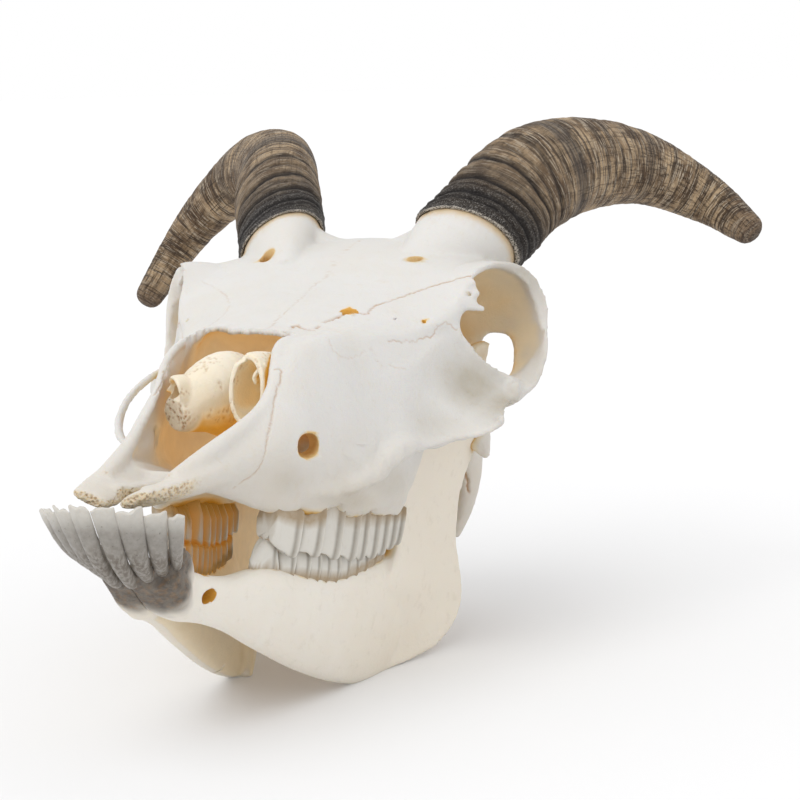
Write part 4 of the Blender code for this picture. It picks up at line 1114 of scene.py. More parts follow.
class Look:
    def __init__(self, name, fixed):
        self.material = bpy.data.materials.new(name)
        self.material.use_nodes = True
        self.tree = self.material.node_tree
        self.surface = self.tree.nodes["Principled BSDF"]
        for socket, value in fixed.items():
            self.surface.inputs[socket].default_value = value

    def node(self, kind, settings, sockets, output=0):
        made = self.tree.nodes.new(kind)
        for key, value in settings.items():
            setattr(made, key, value)
        for key, value in sockets.items():
            if isinstance(value, Wire):
                self.tree.links.new(value.socket, made.inputs[key])
            else:
                made.inputs[key].default_value = value
        return Wire(self, made.outputs[output])

    def maths(self, operation, a, b):
        return self.node("ShaderNodeMath", {"operation": operation}, {0: a, 1: b})

    def mixed(self, share, a, b, how="MIX"):
        a, b = ((*c, 1.0) if isinstance(c, tuple) else c for c in (a, b))
        return self.node("ShaderNodeMix", {"data_type": "RGBA", "blend_type": how},
                         {0: share, 6: a, 7: b}, output=2)

    def places(self, scale=1.0):
        spot = self.node("ShaderNodeTexCoord", {}, {}, output=3)
        return self.node("ShaderNodeVectorMath", {"operation": "SCALE"}, {0: spot, 3: scale})

    def paint(self, name, output=2):
        return self.node("ShaderNodeAttribute", {"attribute_name": name}, {}, output=output)

    def cloud(self, where, scale, detail=3.0, rough=0.55, warp=0.0):
        return self.node("ShaderNodeTexNoise", {}, {"Vector": where, "Scale": scale, "Detail": detail,
                                                    "Roughness": rough, "Distortion": warp})

    def cells(self, where, scale):
        return self.node("ShaderNodeTexVoronoi", {}, {"Vector": where, "Scale": scale})

    def feed(self, socket, value):
        self.tree.links.new(value.socket, self.surface.inputs[socket])

    def tinted(self, colour, tint):
        return self.mixed(1.0, colour, tint, "MULTIPLY")

    def stretched(self, where, scale):
        return self.node("ShaderNodeMapping", {}, {"Vector": where, "Scale": scale})

    def bumped(self, height, distance, strength):
        sockets = {"Strength": strength, "Distance": distance, "Height": height}
        self.feed("Normal", self.node("ShaderNodeBump", {}, sockets))


# hollow, tan and amber are painted shade for shut-in places, edge a painted shade under the horn sheaths'
# edges, glow and haze the painted glow of light through thin bone, shadeTint a painted shade tint
boneTone = {
    "light": (0.665, 0.66, 0.65), "cream": (0.64, 0.60, 0.52), "hollow": (0.66, 0.58, 0.44),
    "tan": (0.62, 0.42, 0.17), "amber": (0.56, 0.28, 0.035), "glow": (0.62, 0.29, 0.025),
    "haze": (0.60, 0.44, 0.23), "crack_and_pit_shade": (0.40, 0.19, 0.045), "sponge": (0.68, 0.54, 0.32),
    "grime": (0.055, 0.043, 0.033), "dust": (0.125, 0.104, 0.082), "edge": (0.60, 0.45, 0.27),
    "crackGlow": (0.02, 0.006, 0.0), "none": (0.0, 0.0, 0.0),
    "shadeTint": (0.66, 0.62, 0.54), "warmTint": (0.96, 0.90, 0.81)}
boneGlow = 0.36
# how shut in a place is, from 0 to 1, where each tone of painted shade and painted glow starts and is
# full
depths = {"cream": (0.32, 0.52), "tan": (0.50, 0.72), "amber": (0.60, 0.80), "glow": (0.36, 0.62),
          "warmth": (0.50, 0.76), "toothGlow": (0.48, 0.80)}


def boneLook(name, base, dull):
    # dry bleached bone, near white, with painted shade that is creamier in hollows and amber deep inside
    look = Look(name, {"Subsurface Weight": 0.12, "Subsurface Radius": (1.0, 0.55, 0.25),
                       "Subsurface Scale": 0.003, "Specular IOR Level": 0.35, "Roughness": 0.5,
                       "Emission Strength": boneGlow})
    spot = look.places(1000.0)      # millimetres
    broad = look.cloud(spot, 0.035, 3.0)
    mottle = look.cloud(spot, 0.22, 4.0, 0.6)
    fine = look.cloud(spot, 1.6, 4.0, 0.65)
    pores = look.cells(spot, 0.9)
    colour = look.mixed(broad.over(0.42, 0.66) * 0.5, base, dull)
    colour = look.mixed(mottle.over(0.56, 0.72) * 0.28, colour, boneTone["cream"])
    shade = look.paint("shade")
    colour = look.mixed(shade * (0.7 + 0.6 * mottle), colour, look.tinted(colour, boneTone["shadeTint"]))
    warm = look.paint("warm")
    colour = look.mixed(warm, colour, look.tinted(colour, boneTone["warmTint"]))
    # painted shade: creamier, then tan, then amber the more shut in a place is
    deep = look.paint("deep")
    colour = look.mixed(deep.over(*depths["cream"]), colour, boneTone["hollow"])
    colour = look.mixed(deep.over(*depths["tan"]), colour, boneTone["tan"])
    colour = look.mixed(deep.over(*depths["amber"]) * (0.8 + 0.4 * mottle), colour, boneTone["amber"])
    # painted shade under the edge of each horn sheath
    tan = look.paint("tan")
    colour = look.mixed(tan * (0.75 + 0.5 * mottle), colour, boneTone["edge"])
    sponge = look.paint("sponge")
    colour = look.mixed(sponge * (0.3 + 0.7 * fine.over(0.42, 0.58)), colour, boneTone["sponge"])
    grime = look.paint("grime")
    specks = look.cloud(spot, 0.26, 8.0, 0.72, 0.6).over(0.40, 0.62)
    colour = look.mixed(grime * 0.95, colour, look.mixed(specks, boneTone["dust"], boneTone["grime"]))
    # dark seams and cracks, with painted shade in the pits
    crack_and_pit_shade = look.paint("crack_and_pit_shade")
    colour = look.mixed(crack_and_pit_shade, colour, boneTone["crack_and_pit_shade"])
    dots = (1 - pores.over(0.05, 0.16)) * mottle.over(0.45, 0.6)
    colour = look.mixed(dots * 0.35, colour, boneTone["tan"])
    look.feed("Base Color", colour)
    # thin bone lets light through, so the insides glow amber
    warmth = look.mixed(deep.over(*depths["warmth"]), boneTone["haze"], boneTone["glow"])
    share = deep.over(*depths["glow"]) * look.paint("lit") * (0.5 + mottle)
    glow = look.mixed(share, boneTone["none"], warmth)
    look.feed("Emission Color", look.mixed(crack_and_pit_shade * 0.8, glow, boneTone["crackGlow"]))
    look.feed("Roughness", 0.42 + 0.22 * fine)
    height = fine * 0.5 + mottle * 0.9 - dots * 0.5 + look.cloud(spot, 4.5, 2.0) * 0.15
    look.bumped(height, 0.0004, 0.75)
    return look.material


# tan and amber are painted shade for shut-in places; the dark fold tone is painted shade at the fronts of
# the panels
toothTone = {
    "light": (0.64, 0.615, 0.56), "streak": (0.50, 0.455, 0.375), "mottle": (0.57, 0.53, 0.45),
    "tan": (0.70, 0.48, 0.26), "amber": (0.68, 0.43, 0.19), "foldShade": (0.125, 0.092, 0.055),
    "gum": (0.33, 0.235, 0.13), "grime": (0.225, 0.205, 0.18), "stain": (0.15, 0.125, 0.10),
    "speck": (0.06, 0.05, 0.042)}
toothGlow = 0.45


def toothLook():
    # enamel with upright streaks, painted shade in its folds and where it is shut in, darker at the gum
    look = Look("tooth_enamel", {"Subsurface Weight": 0.1, "Subsurface Radius": (1.0, 0.7, 0.45),
                                 "Subsurface Scale": 0.0015, "Specular IOR Level": 0.5,
                                 "Emission Strength": toothGlow})
    spot = look.places(1000.0)
    streak = look.cloud(look.stretched(spot, (1.0, 1.0, 0.16)), 0.9, 4.0, 0.6)
    mottle = look.cloud(spot, 0.5, 3.0)
    colour = look.mixed(streak.over(0.54, 0.72) * 0.22, toothTone["light"], toothTone["streak"])
    colour = look.mixed(mottle.over(0.55, 0.7) * 0.25, colour, toothTone["mottle"])
    # painted shade: tan, then amber where the teeth are shut in
    deep = look.paint("deep")
    colour = look.mixed(deep.over(*depths["tan"]) * 0.9, colour, toothTone["tan"])
    colour = look.mixed(deep.over(*depths["amber"]) * 0.8, colour, toothTone["amber"])
    colour = look.mixed(look.paint("groove") * (0.75 + 0.4 * mottle), colour, toothTone["foldShade"])
    colour = look.mixed(look.paint("gum") * (0.6 + 0.5 * mottle), colour, toothTone["gum"])
    grime = look.paint("grime")
    colour = look.mixed(grime * (0.7 + 0.4 * mottle), colour, toothTone["grime"])
    colour = look.mixed(look.paint("sponge") * streak.over(0.40, 0.60), colour, toothTone["stain"])
    specks = look.cloud(spot, 0.9, 5.0, 0.75).over(0.60, 0.68)
    colour = look.mixed(grime * specks * 0.85, colour, toothTone["speck"])
    look.feed("Base Color", colour)
    # painted glow where light comes through
    share = deep.over(*depths["toothGlow"]) * look.paint("lit")
    look.feed("Emission Color", look.mixed(share, boneTone["none"], boneTone["glow"]))
    look.feed("Roughness", 0.26 + 0.3 * mottle)
    look.bumped(streak * 0.3 + mottle * 0.4, 0.00014, 0.4)
    return look.material


hornTone = {
    "brown": (0.10, 0.060, 0.032), "straw": (0.42, 0.30, 0.18), "ring": (0.05, 0.032, 0.02),
    "dry": (0.50, 0.42, 0.32), "speck": (0.06, 0.042, 0.03), "split": (0.055, 0.036, 0.025),
    "band": (0.07, 0.058, 0.05), "dark": (0.035, 0.025, 0.02), "warm": (0.25, 0.18, 0.115),
    "black": (0.008, 0.008, 0.009), "worn": (0.20, 0.19, 0.18), "groove": (0.012, 0.010, 0.010),
    "end": (0.10, 0.065, 0.045), "point": (0.03, 0.022, 0.018), "rim": (0.55, 0.50, 0.43),
    "inside": (0.10, 0.055, 0.03)}


def hornLook():
    # keratin: dark growth rings near the skull, brown grain and splits further out
    look = Look("horn_keratin", {"Specular IOR Level": 0.22, "Coat Roughness": 0.4})
    grain = look.paint("grain", 1)          # an unrolled straight horn, in millimetres
    reach = look.paint("reach")
    across = look.stretched(grain, (0.06, 0.06, 1.0))
    down = look.stretched(grain, (1.0, 1.0, 0.05))
    rings = look.cloud(across, 0.75, 5.0, 0.65, 0.25)
    finer = look.cloud(across, 2.4, 3.0, 0.6, 0.2)
    fibres = look.cloud(down, 1.3, 5.0, 0.7, 0.2)
    blotch = look.cloud(grain, 0.07, 4.0, 0.6, 0.4)
    speck = look.cloud(grain, 1.9, 4.0, 0.7)
    colour = look.mixed(blotch.over(0.38, 0.62), hornTone["brown"], hornTone["straw"])
    colour = look.mixed(rings.over(0.46, 0.58) * 0.9, colour, hornTone["ring"])
    colour = look.mixed(finer.over(0.54, 0.62) * 0.8, colour, hornTone["dry"])
    colour = look.mixed(speck.over(0.55, 0.66) * 0.45, colour, hornTone["speck"])
    colour = look.mixed(fibres.over(0.54, 0.64) * (0.2 + 0.65 * reach), colour, hornTone["split"])
    # bands where growth slowed, then the black weathered foot of the sheath
    band = reach.over(0.27, 0.295) * (1 - reach.over(0.315, 0.35))
    band = band + 0.6 * reach.over(0.585, 0.60) * (1 - reach.over(0.61, 0.63))
    colour = look.mixed(band * (0.35 + 0.5 * speck), colour, hornTone["band"])
    foot = 1 - reach.over(0.045, 0.15)
    middle = 1 - reach.over(0.12, 0.30)
    colour = look.mixed(middle * 0.45, colour, look.mixed(rings, hornTone["dark"], hornTone["warm"]))
    black = look.mixed(speck.over(0.52, 0.64), hornTone["black"], hornTone["worn"])
    colour = look.mixed(foot * 0.9, colour, black)
    # painted shade darkening the growth grooves
    colour = look.mixed(look.paint("groove") * 0.92, colour, hornTone["groove"])
    colour = look.mixed(reach.over(0.90, 1.0) * (0.3 + 0.6 * blotch), colour, hornTone["end"])
    colour = look.mixed(reach.over(0.985, 1.0) * 0.8, colour, hornTone["point"])
    colour = look.mixed(look.paint("rim") * speck.over(0.42, 0.56), colour, hornTone["rim"])
    colour = look.mixed(look.paint("inside"), colour, hornTone["inside"])
    look.feed("Base Color", colour)
    look.feed("Roughness", 0.5 + 0.25 * finer)
    splits = fibres.over(0.5, 0.7) * (0.3 + 0.7 * reach)
    look.bumped(finer * 0.7 - rings * 0.9 - splits - speck * 0.35, 0.0006, 0.9)
    return look.material


# the pieces
print("looks")
looks = {
    "cranium": boneLook("bleached_bone", boneTone["light"], (0.65, 0.63, 0.59)),
    # painted light: the jaws get a brighter copy of the bone colour, standing in for the stronger side
    # light on them
    "jaw": boneLook("jaw_bone", (0.80, 0.765, 0.70), (0.77, 0.72, 0.635)),
    "inner": boneLook("turbinate_bone", (0.82, 0.755, 0.63), (0.78, 0.68, 0.50)),
    "teeth": toothLook(),
    "horn": hornLook(),
}
pieces = {}


def shown(body, name, look, node=None):
    body.name = body.data.name = name
    body.data.materials.clear()
    body.data.materials.append(looks[look])
    body.data.transform(setDown)
    body.data.shade_smooth()
    bpy.context.scene.collection.objects.link(body)
    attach(body, "root")
    if node:
        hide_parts(node)
    pieces[body.name] = body


# the cracks and seams of the skull: rough places on the surface, how wide and deep they are, how much
# they wiggle, how dark they are, and whether the same one is on both sides
seams = [
    {"line": [(-0.7, 126, 116), (-0.4, 112, 109), (-0.7, 101, 104), (0.8, 86, 94.7), (-0.6, 77, 90),
              (0.4, 66, 85), (0, 55, 79.5), (-0.4, 44, 74.5), (0, 35.5, 70)],
     "width": 0.3, "depth": 0.12, "wiggle": 0.7, "tone": 0.34, "both": False},
    {"line": [(8.2, 31, 70), (8.5, 41, 72.6), (11, 39, 71.5), (14.3, 37.5, 70.6), (15.8, 44.4, 73.4),
              (19.2, 52, 77), (20.7, 57.8, 79.4), (22.4, 58.4, 79.0)],
     "width": 0.5, "depth": 0.7, "wiggle": 0.6, "tone": 1.0, "both": False},
    {"line": [(22.4, 58.4, 79.0), (25.4, 58.6, 78.5), (26.4, 65.5, 82), (31, 73, 85.6), (37.5, 81, 89.5),
              (46.7, 86.8, 93.7), (53.8, 86.5, 95)],
     "width": 0.38, "depth": 0.3, "wiggle": 0.3, "tone": 0.9, "both": False},
    {"line": [(-26, 40, 70), (-25.4, 52, 77), (-27, 66, 82), (-37.5, 81, 89.5), (-46.7, 86.8, 93.7)],
     "width": 0.3, "depth": 0.12, "wiggle": 0.5, "tone": 0.3, "both": False},
    {"line": [(36.8, 51.8, 68.7), (42.7, 63.4, 70), (45.7, 69.1, 72), (49.1, 74.5, 77.4),
              (51.3, 79.4, 75.2)],
     "width": 0.3, "depth": 0.12, "wiggle": 0.6, "tone": 0.6, "both": True},
    {"line": [(24.7, 25.3, 66.7), (27.9, 24.5, 62.7), (30, 29.3, 60.9), (32.1, 37.9, 62.5),
              (33.9, 44.2, 65.2), (35.3, 44.6, 61.9), (41.7, 56, 59.8)],
     "width": 0.28, "depth": 0.08, "wiggle": 0.5, "tone": 0.28, "both": True},
    {"line": [(17, 0.5, 55), (17.8, 2.7, 53.7), (20, -4, 47), (21.6, -10.3, 40.3), (23.4, -18.6, 30.4),
              (23.6, -21.2, 25.7), (22.1, -23.1, 20.6), (19.1, -27.5, 16.7), (17.2, -29.1, 15)],
     "width": 0.36, "depth": 0.3, "wiggle": 0.25, "tone": 0.6, "both": True},
    {"line": [(28, 168, 31.5), (29.5, 169, 29.5), (31.5, 170, 26.5), (34.5, 170, 22)],
     "width": 0.7, "depth": 1.0, "wiggle": 0.3, "tone": 1.0, "both": False}]
seamSkin = {"step": 0.45, "near": 1.1, "rounds": 2, "prongs": -52}

# painted shade: soft grey-brown patches where hollows lie in shadow, most on the left cheek: centre,
# size, strength
shadePatches = (
    ((59, 82, 58), (11, 13, 9), 1.2), ((66, 90, 51), (12, 14, 8), 0.9), ((50, 64, 42), (9, 12, 7), 0.45),
    ((35, 30, 14), (6, 14, 4), 0.5), ((40, 50, 22), (6, 14, 6), 0.45), ((60, 112, 98), (14, 14, 10), 0.8),
    ((-59, 91, 91), (7, 6, 6), 1.0), ((27, -6, 18), (5, 9, 5), 0.35), ((66, 116, 66), (10, 9, 14), 0.35))
browGap = [(20.4, 57.6, 83), (20.8, 57.2, 72)]      # the open gap between nasal bone and forehead


def seamLine(seam, tree, mirror, seed):
    # a seam's line with small wanderings, laid on the surface
    points = flipped(seam["line"]) if mirror else seam["line"]
    length = np.linalg.norm(np.diff(np.asarray(points, float), axis=0), axis=1).sum()
    places, ways, _, samples = followed(points, int(length / seamSkin["step"]))
    line = []
    for place, way, reach in zip(places, ways, samples):
        spot, normal, _, _ = tree.find_nearest(Vector(place))
        side = normal.cross(Vector(way)).normalized()
        slow = noise.noise(Vector((reach / 1.7, seed * 5.1, 0)))
        sway = slow + 0.7 * noise.noise(Vector((reach / 0.8, seed * 9.7, 3)))
        spot, normal, _, _ = tree.find_nearest(spot + side * sway * seam["wiggle"] * 1.5)
        line.append(np.array(spot))
    return np.array(line)


def skullShape():
    # all the bones as one skin, with the hollows, tooth sockets and small holes cut out
    solid = [face(), brow(), braincase(), *nosePlates(), *cheekBones(), *skullBase()]
    for side in (1, -1):
        solid += [socketRing(side), socketWall(side)]
    bone = fused("cranium", solid, cranial["voxel"], cranial["smoothing"])
    print("skull fused", len(bone.data.polygons))
    bone = worked(bone, fused("hollows", noseHollow(), cranial["voxel"], 2))
    for hollow in [*socketHollows(), *smallHollows(), lostRoof(True)]:
        bone = worked(bone, hollow)
    added = [hornCore(horns[side]) for side in ("left", "right")] + noseLips() + inNose()
    bone = fused("cranium", [mainBody(bone), *added], cranial["voxel"], 2)
    for tool in (lostRoof(False), socketsFor(1), socketsFor(-1)):
        bone = worked(bone, tool)
    for hole in foramina():
        bone = worked(bone, hole)
    hole = bar("browGap", browGap, (6.2, 5.6), (2.6, 2.2), towards=(0.85, 0.5, 0))
    bone = thinned(mainBody(worked(bone, hole)), cranial["triangles"])
    print("skull cut and thinned", len(bone.data.polygons))
    return bone


def cranium():
    bone = skullShape()
    tree = BVHTree.FromPolygons([vert.co for vert in bone.data.vertices],
                                [face.vertices for face in bone.data.polygons])
    lines = []
    for number, seam in enumerate(seams):
        for mirror in ((True, False) if seam["both"] else (False,)):
            lines.append((seam, seamLine(seam, tree, mirror, number + 3 * mirror)))

    def nearSeams(places):
        near = np.zeros(len(places), bool)
        for _, line in lines:
            near |= distanceTo(places, line) < seamSkin["near"]
        return near | (places[:, 1] < seamSkin["prongs"])

    bone = refined(bone, nearSeams, seamSkin["rounds"])
    print("seams refined", len(bone.data.polygons))
    places, normals = placesOf(bone.data), normalsOf(bone.data)
    crack_and_pit_shade = np.zeros(len(places))
    sunk = np.zeros(len(places))
    for seam, line in lines:
        gap = distanceTo(places, line)
        sunk += np.exp(-(gap / seam["width"]) ** 2) * seam["depth"]
        crack_and_pit_shade = np.maximum(crack_and_pit_shade, seam["tone"] * np.exp(-(gap / (seam["width"] * 0.8)) ** 2))
    # the lower side of the face is uneven
    x, y, z = places.T
    low = (1 - eased(z, 24, 46)) * eased(z, 4, 10) * eased(y, -4, 12) * (1 - eased(y, 70, 84))
    low *= np.abs(x) > 18
    chosen = np.where(low > 0.01)[0]
    part = places[chosen]
    sunk[chosen] += low[chosen] * (1.5 * wave(part, 12, 6) + 0.5 * wave(part * (1, 1, 0.4), 3, 7))
    setPlaces(bone.data, places - normals * sunk[:, None])
    crack_and_pit_shade *= 0.7 + 0.3 * np.clip(wave(places, 6, 4) * 2, -1, 1)
    # the broken front ends are spongy
    ends = eased(-y, 53, 61) * (1 - eased(normals[:, 2], 0.15, 0.7))
    pits = pitted(bone.data, ends, 1.15, 0.6)
    painted(bone.data, "sponge", ends * 0.8)
    # dark seams and cracks, and painted shade in the pits of the broken ends
    painted(bone.data, "crack_and_pit_shade", np.maximum(crack_and_pit_shade, pits * 0.4))
    # creamier low down and behind, with painted shade in soft patches on the cheek
    painted(bone.data, "warm", 0.25 + 0.6 * eased(-z, -45, -8) + 0.5 * eased(y, 95, 150) * (z < 100))
    places = placesOf(bone.data)
    shade = np.zeros(len(places))
    for centre, size, strength in shadePatches:
        gap = np.linalg.norm((places - centre) / size, axis=1)
        shade = np.maximum(shade, strength * np.exp(-gap ** 2))
    painted(bone.data, "shade", shade)
    return bone


print("cranium")
skull = cranium()
upper = {side: toothRow(side, True) for side in (1, -1)}
lower = {side: toothRow(side, False) for side in (1, -1)}
jaws = {1: jaw("mandible_left", 1), -1: jaw("mandible_right", -1)}
front = {side: gathered("incisors_" + word, [incisor(index, side) for index in range(4)])
         for side, word in ((1, "left"), (-1, "right"))}
print("jaws and teeth")
scrolls = {1: leftConcha(), -1: rightConcha()}
for side in (1, -1):
    spongy(scrolls[side], side)


def sheath(name, points):
    # a hollow horn, closed at its tip, with a ragged edge at the skull
    length = hornFrames(points)[4][-1]

    def relief(reach, angles):
        # fine growth rings, deep ones near the skull, and splits along the outer part
        share = reach / length
        curve = np.cos(angles) * 1.1 + np.sin(2 * angles) * 0.6
        out = np.zeros(len(angles))
        near = 1 - eased(share, 0.10, 0.34)
        for k, angle in enumerate(angles):
            about = Vector((math.cos(angle), math.sin(angle), 0))
            for size, pitch, seed in ((0.13, 1.2, 1), (0.16, 2.6, 2), (0.22, 5.5, 3)):
                spot = about * 1.2 + Vector((0, 0, (reach + curve[k]) / pitch + seed * 13))
                out[k] += size * noise.noise(spot) * (1.5 - 0.9 * share)
            along = reach + curve[k] + 1.1 * noise.noise(about * 1.6 + Vector((0, 0, reach / 9.0)))
            for groove, deep, wide in horns["grooves"]:
                out[k] -= deep * math.exp(-((along - groove) / wide) ** 2)
            out[k] += near * 0.35 * noise.noise(about * 7 + Vector((0, 0, reach / 2.2)))
            out[k] -= 0.5 * (1 - float(eased(along + 1.5, 0.0, 5.0)))      # thinner towards the edge
            out[k] -= 0.28 * max(0.0, noise.noise(about * 5.5 + Vector((0, 0, reach / 26.0)))) * share * 2
        return out

    shares = np.linspace(horns["rim"], 0.965, horns["rings"])
    outer = hornRings(points, shares, ((0, 1), (0, 0)), horns["around"], relief)
    for number in range(6):     # the first rings wander, so that the edge is ragged
        place, way, ring = outer[number]
        angles = 2 * math.pi * np.arange(len(ring)) / len(ring)
        wander = np.array([noise.noise(Vector((math.cos(a) * 3, math.sin(a) * 3, 4.0)))
                           + 0.6 * noise.noise(Vector((math.cos(a) * 11, math.sin(a) * 11, 1.0)))
                           for a in angles])
        outer[number] = (place, way, ring + np.outer(wander * 0.8 * (1 - number / 6), way))

    def thinFoot(reach, angles):
        return np.full(len(angles), -0.5 * (1 - float(eased(reach + 1.5, 0.0, 5.0))))

    inwards = np.linspace(horns["hollow"], horns["rim"], 30)
    hollow = hornRings(points, inwards, horns["wall"], horns["around"], thinFoot)
    place, way, last = hollow[0]
    rings = [place + (last - place) * 0.3 + way * 8]
    rings += [ring for _, _, ring in hollow + outer]      # up the inside, round the edge, out again
    place, way, tip = outer[-1]
    for scale, reach in ((0.96, 1.2), (0.87, 2.5), (0.71, 3.6), (0.5, 4.4), (0.24, 4.8)):
        rings.append(place + (tip - place) * scale + way * reach)
    return lofted(name, rings)


print("horns")
sheaths = {1: sheath("horn_sheath_left", horns["left"]), -1: sheath("horn_sheath_right", horns["right"])}


def hornPaint(body, points):
    # where each place lies on the unrolled horn, its grooves, its inside and its rim
    reach, a, b, wide, length = unrolled(placesOf(body.data), points)
    flat = horns["flat"][0] + (horns["flat"][1] - horns["flat"][0]) * reach / length
    depth = np.hypot(a, b / flat) - wide
    layer = body.data.attributes.new("grain", "FLOAT_VECTOR", "POINT")
    layer.data.foreach_set("vector", np.column_stack([a, b, reach]).astype(np.float32).ravel())
    painted(body.data, "reach", reach / length)
    wall = np.interp(reach / length, *horns["wall"])
    inside = eased(-depth, wall * 0.8 + 1.0, wall * 0.8 + 1.3) * (reach < length * 0.9)
    painted(body.data, "inside", inside)
    start = horns["rim"] * length
    angle = np.arctan2(b / flat, a)
    curve = np.cos(angle) * 1.1 + np.sin(2 * angle) * 0.6
    around = np.column_stack([np.cos(angle) * 1.6, np.sin(angle) * 1.6, reach / 9.0])
    along = reach + curve + 1.1 * wave(around, 1.0, 0, 1)
    painted(body.data, "rim", 1 - eased(reach - start, 0.15, 0.9))
    # painted shade along the growth grooves
    dark = np.zeros(len(reach))
    for groove, deep, wide in horns["grooves"]:
        dark = np.maximum(dark, min(1.0, deep) * np.exp(-((along - groove) / (wide * 1.3)) ** 2))
    painted(body.data, "groove", dark)


for side, points in ((1, horns["left"]), (-1, horns["right"])):
    hornPaint(sheaths[side], points)
    footShifted(sheaths[side], points)
print("shading of hollows")

# how shut in each place is: the share of short sight lines that meet bone; it sets the painted shade and
# painted glow
sight = {"rays": 22, "reach": 70.0, "every": 3, "start": 0.25, "fade": 0.6, "smoothing": 3}


def sightTree(bodies):
    # the bodies that stand in the way
    places, faces, start = [], [], 0
    for body in bodies:
        places += [v.co.copy() for v in body.data.vertices]
        faces += [[i + start for i in p.vertices] for p in body.data.polygons]
        start = len(places)
    return BVHTree.FromPolygons(places, faces)


def shutIn(body, tree):
    mesh = body.data
    places, normals = placesOf(mesh), normalsOf(mesh)
    golden = math.pi * (3 - math.sqrt(5))
    count = sight["rays"]
    ways = []
    for k in range(count):      # spread over a half sphere, thicker towards the middle
        high = math.sqrt(1 - (k + 0.5) / count)
        flat = math.sqrt(1 - high * high)
        ways.append((flat * math.cos(golden * k), flat * math.sin(golden * k), high))
    chosen = np.arange(0, len(places), sight["every"])
    found = kdtree.KDTree(len(chosen))
    values = np.zeros(len(chosen))
    for j, i in enumerate(chosen):
        normal = Vector(normals[i])
        turn = Vector((0, 0, 1)).rotation_difference(normal).to_matrix()
        spot = Vector(places[i])
        start = spot + normal * sight["start"]
        shut = 0.0
        for way in ways:
            _, _, _, gap = tree.ray_cast(start, turn @ Vector(way), sight["reach"])
            if gap is not None:
                shut += 1 - sight["fade"] * gap / sight["reach"]
        values[j] = shut / count
        found.insert(spot, j)
    found.balance()
    out = np.empty(len(places))
    out[chosen] = values
    rest = np.setdiff1d(np.arange(len(places)), chosen)
    for i in rest:
        near = found.find_n(Vector(places[i]), 3)
        out[i] = sum(values[j] for _, j, _ in near) / len(near)
    edges = np.empty(len(mesh.edges) * 2, int)
    mesh.edges.foreach_get("vertices", edges)
    edges = edges.reshape(-1, 2)
    for _ in range(sight["smoothing"]):
        total = out.copy()
        number = np.ones(len(out))
        np.add.at(total, edges[:, 0], out[edges[:, 1]])
        np.add.at(total, edges[:, 1], out[edges[:, 0]])
        np.add.at(number, edges[:, 0], 1)
        np.add.at(number, edges[:, 1], 1)
        out = total / number
    painted(mesh, "deep", out)


def toothFoldShade(y, above):
    # painted shade on the recessed front of every slanting panel
    dark = np.zeros(len(y))
    for lobes in cheekTeeth["upper" if above else "lower"]:
        for a, b in lobes:
            t = (y - a) / (b - a)
            inside = (t > -0.03) & (t < 1.0)
            shade = np.exp(-(t / 0.15) ** 2) * (a > 0) + 0.6 * np.exp(-((t - 0.76) / 0.07) ** 2)
            dark[inside] = np.maximum(dark[inside], shade[inside])
    return dark


def mouthPaint():
    # darker at the gum line, painted shade on the panels of the cheek teeth, grey front teeth and the
    # grimy chin
    for side in (1, -1):
        for body, edge, sign in ((upper[side], gumLine, 1), (lower[side], lowerGum, -1)):
            x, y, z = placesOf(body.data).T
            gap = (np.asarray(edge(y)) - z) * sign
            painted(body.data, "gum", 1 - eased(gap, 0.1, 1.5))
            # painted shade at the fronts of the panels, on the outer face only
            outside = eased(np.abs(x) - cheekLine(y) + (3.4 if sign > 0 else 6.2), 0.0, 1.0)
            painted(body.data, "groove", toothFoldShade(y, sign > 0) * outside)
        x, y, z = placesOf(front[side].data).T
        painted(front[side].data, "grime", 1 - 0.75 * eased(z, -2.5, 5.0))
        painted(front[side].data, "sponge", 1 - eased(z, -9.5, -3.5))
        places = placesOf(jaws[side].data)
        x, y, z = places.T
        chin = eased(-y + 2.5 * wave(places, 6, 2), 44, 55)
        painted(jaws[side].data, "grime", chin)
        painted(jaws[side].data, "warm", 0.2 + 0.5 * eased(y, 20, 110) + 0.3 * (side < 0))
        pits = pitted(jaws[side].data, 0.7 * eased(chin, 0.45, 0.8), 1.5, 0.35)
        # painted shade in the pits of the chin
        painted(jaws[side].data, "crack_and_pit_shade", pits * 0.35)


# how much light each piece lets through, left and right
through = {"scroll": {1: 0.75, -1: 0.9}, "jaw": {1: 0.3, -1: 0.6}, "row": {1: 0.1, -1: 0.35}}
# small openings, with painted shade and glow inside: the line through each, its half width, and how amber
# it is
openings = (
    ([(39, -10, 29), (31, -1.5, 29.8), (24, 9, 32)], 4.9, 0.45),
    ([(27.6, 99, 106), (29.6, 107, 98)], 3.4, 0.4), ([(-27.6, 99, 106), (-29.6, 107, 98)], 3.4, 0.4),
    (browGap, 3.1, 0.9), ([(46, 66, 80), (42, 70, 75)], 0.9, 0.9))
sheathRimShade = {"above": 100, "wide": 3.2, "tone": 0.9}


def throughPaint():
    for side in (1, -1):
        for bodies, kind in ((scrolls, "scroll"), (jaws, "jaw"), (upper, "row"), (lower, "row")):
            mesh = bodies[side].data
            painted(mesh, "lit", through[kind][side] * eased(placesOf(mesh)[:, 1], -44, -24))


def rightJawLight():
    # light falls through the mouth on the inner face of the right jaw
    mesh = jaws[-1].data
    places, normals = placesOf(mesh), normalsOf(mesh)
    inner = eased(normals[:, 0], 0.1, 0.5) * eased(places[:, 1], -44, -24)
    painted(mesh, "lit", np.maximum(paintOf(mesh, "lit"), inner * 0.8))
    inner *= 0.50 + 0.10 * eased(places[:, 2], -30, -8)
    painted(mesh, "deep", np.maximum(paintOf(mesh, "deep"), inner))


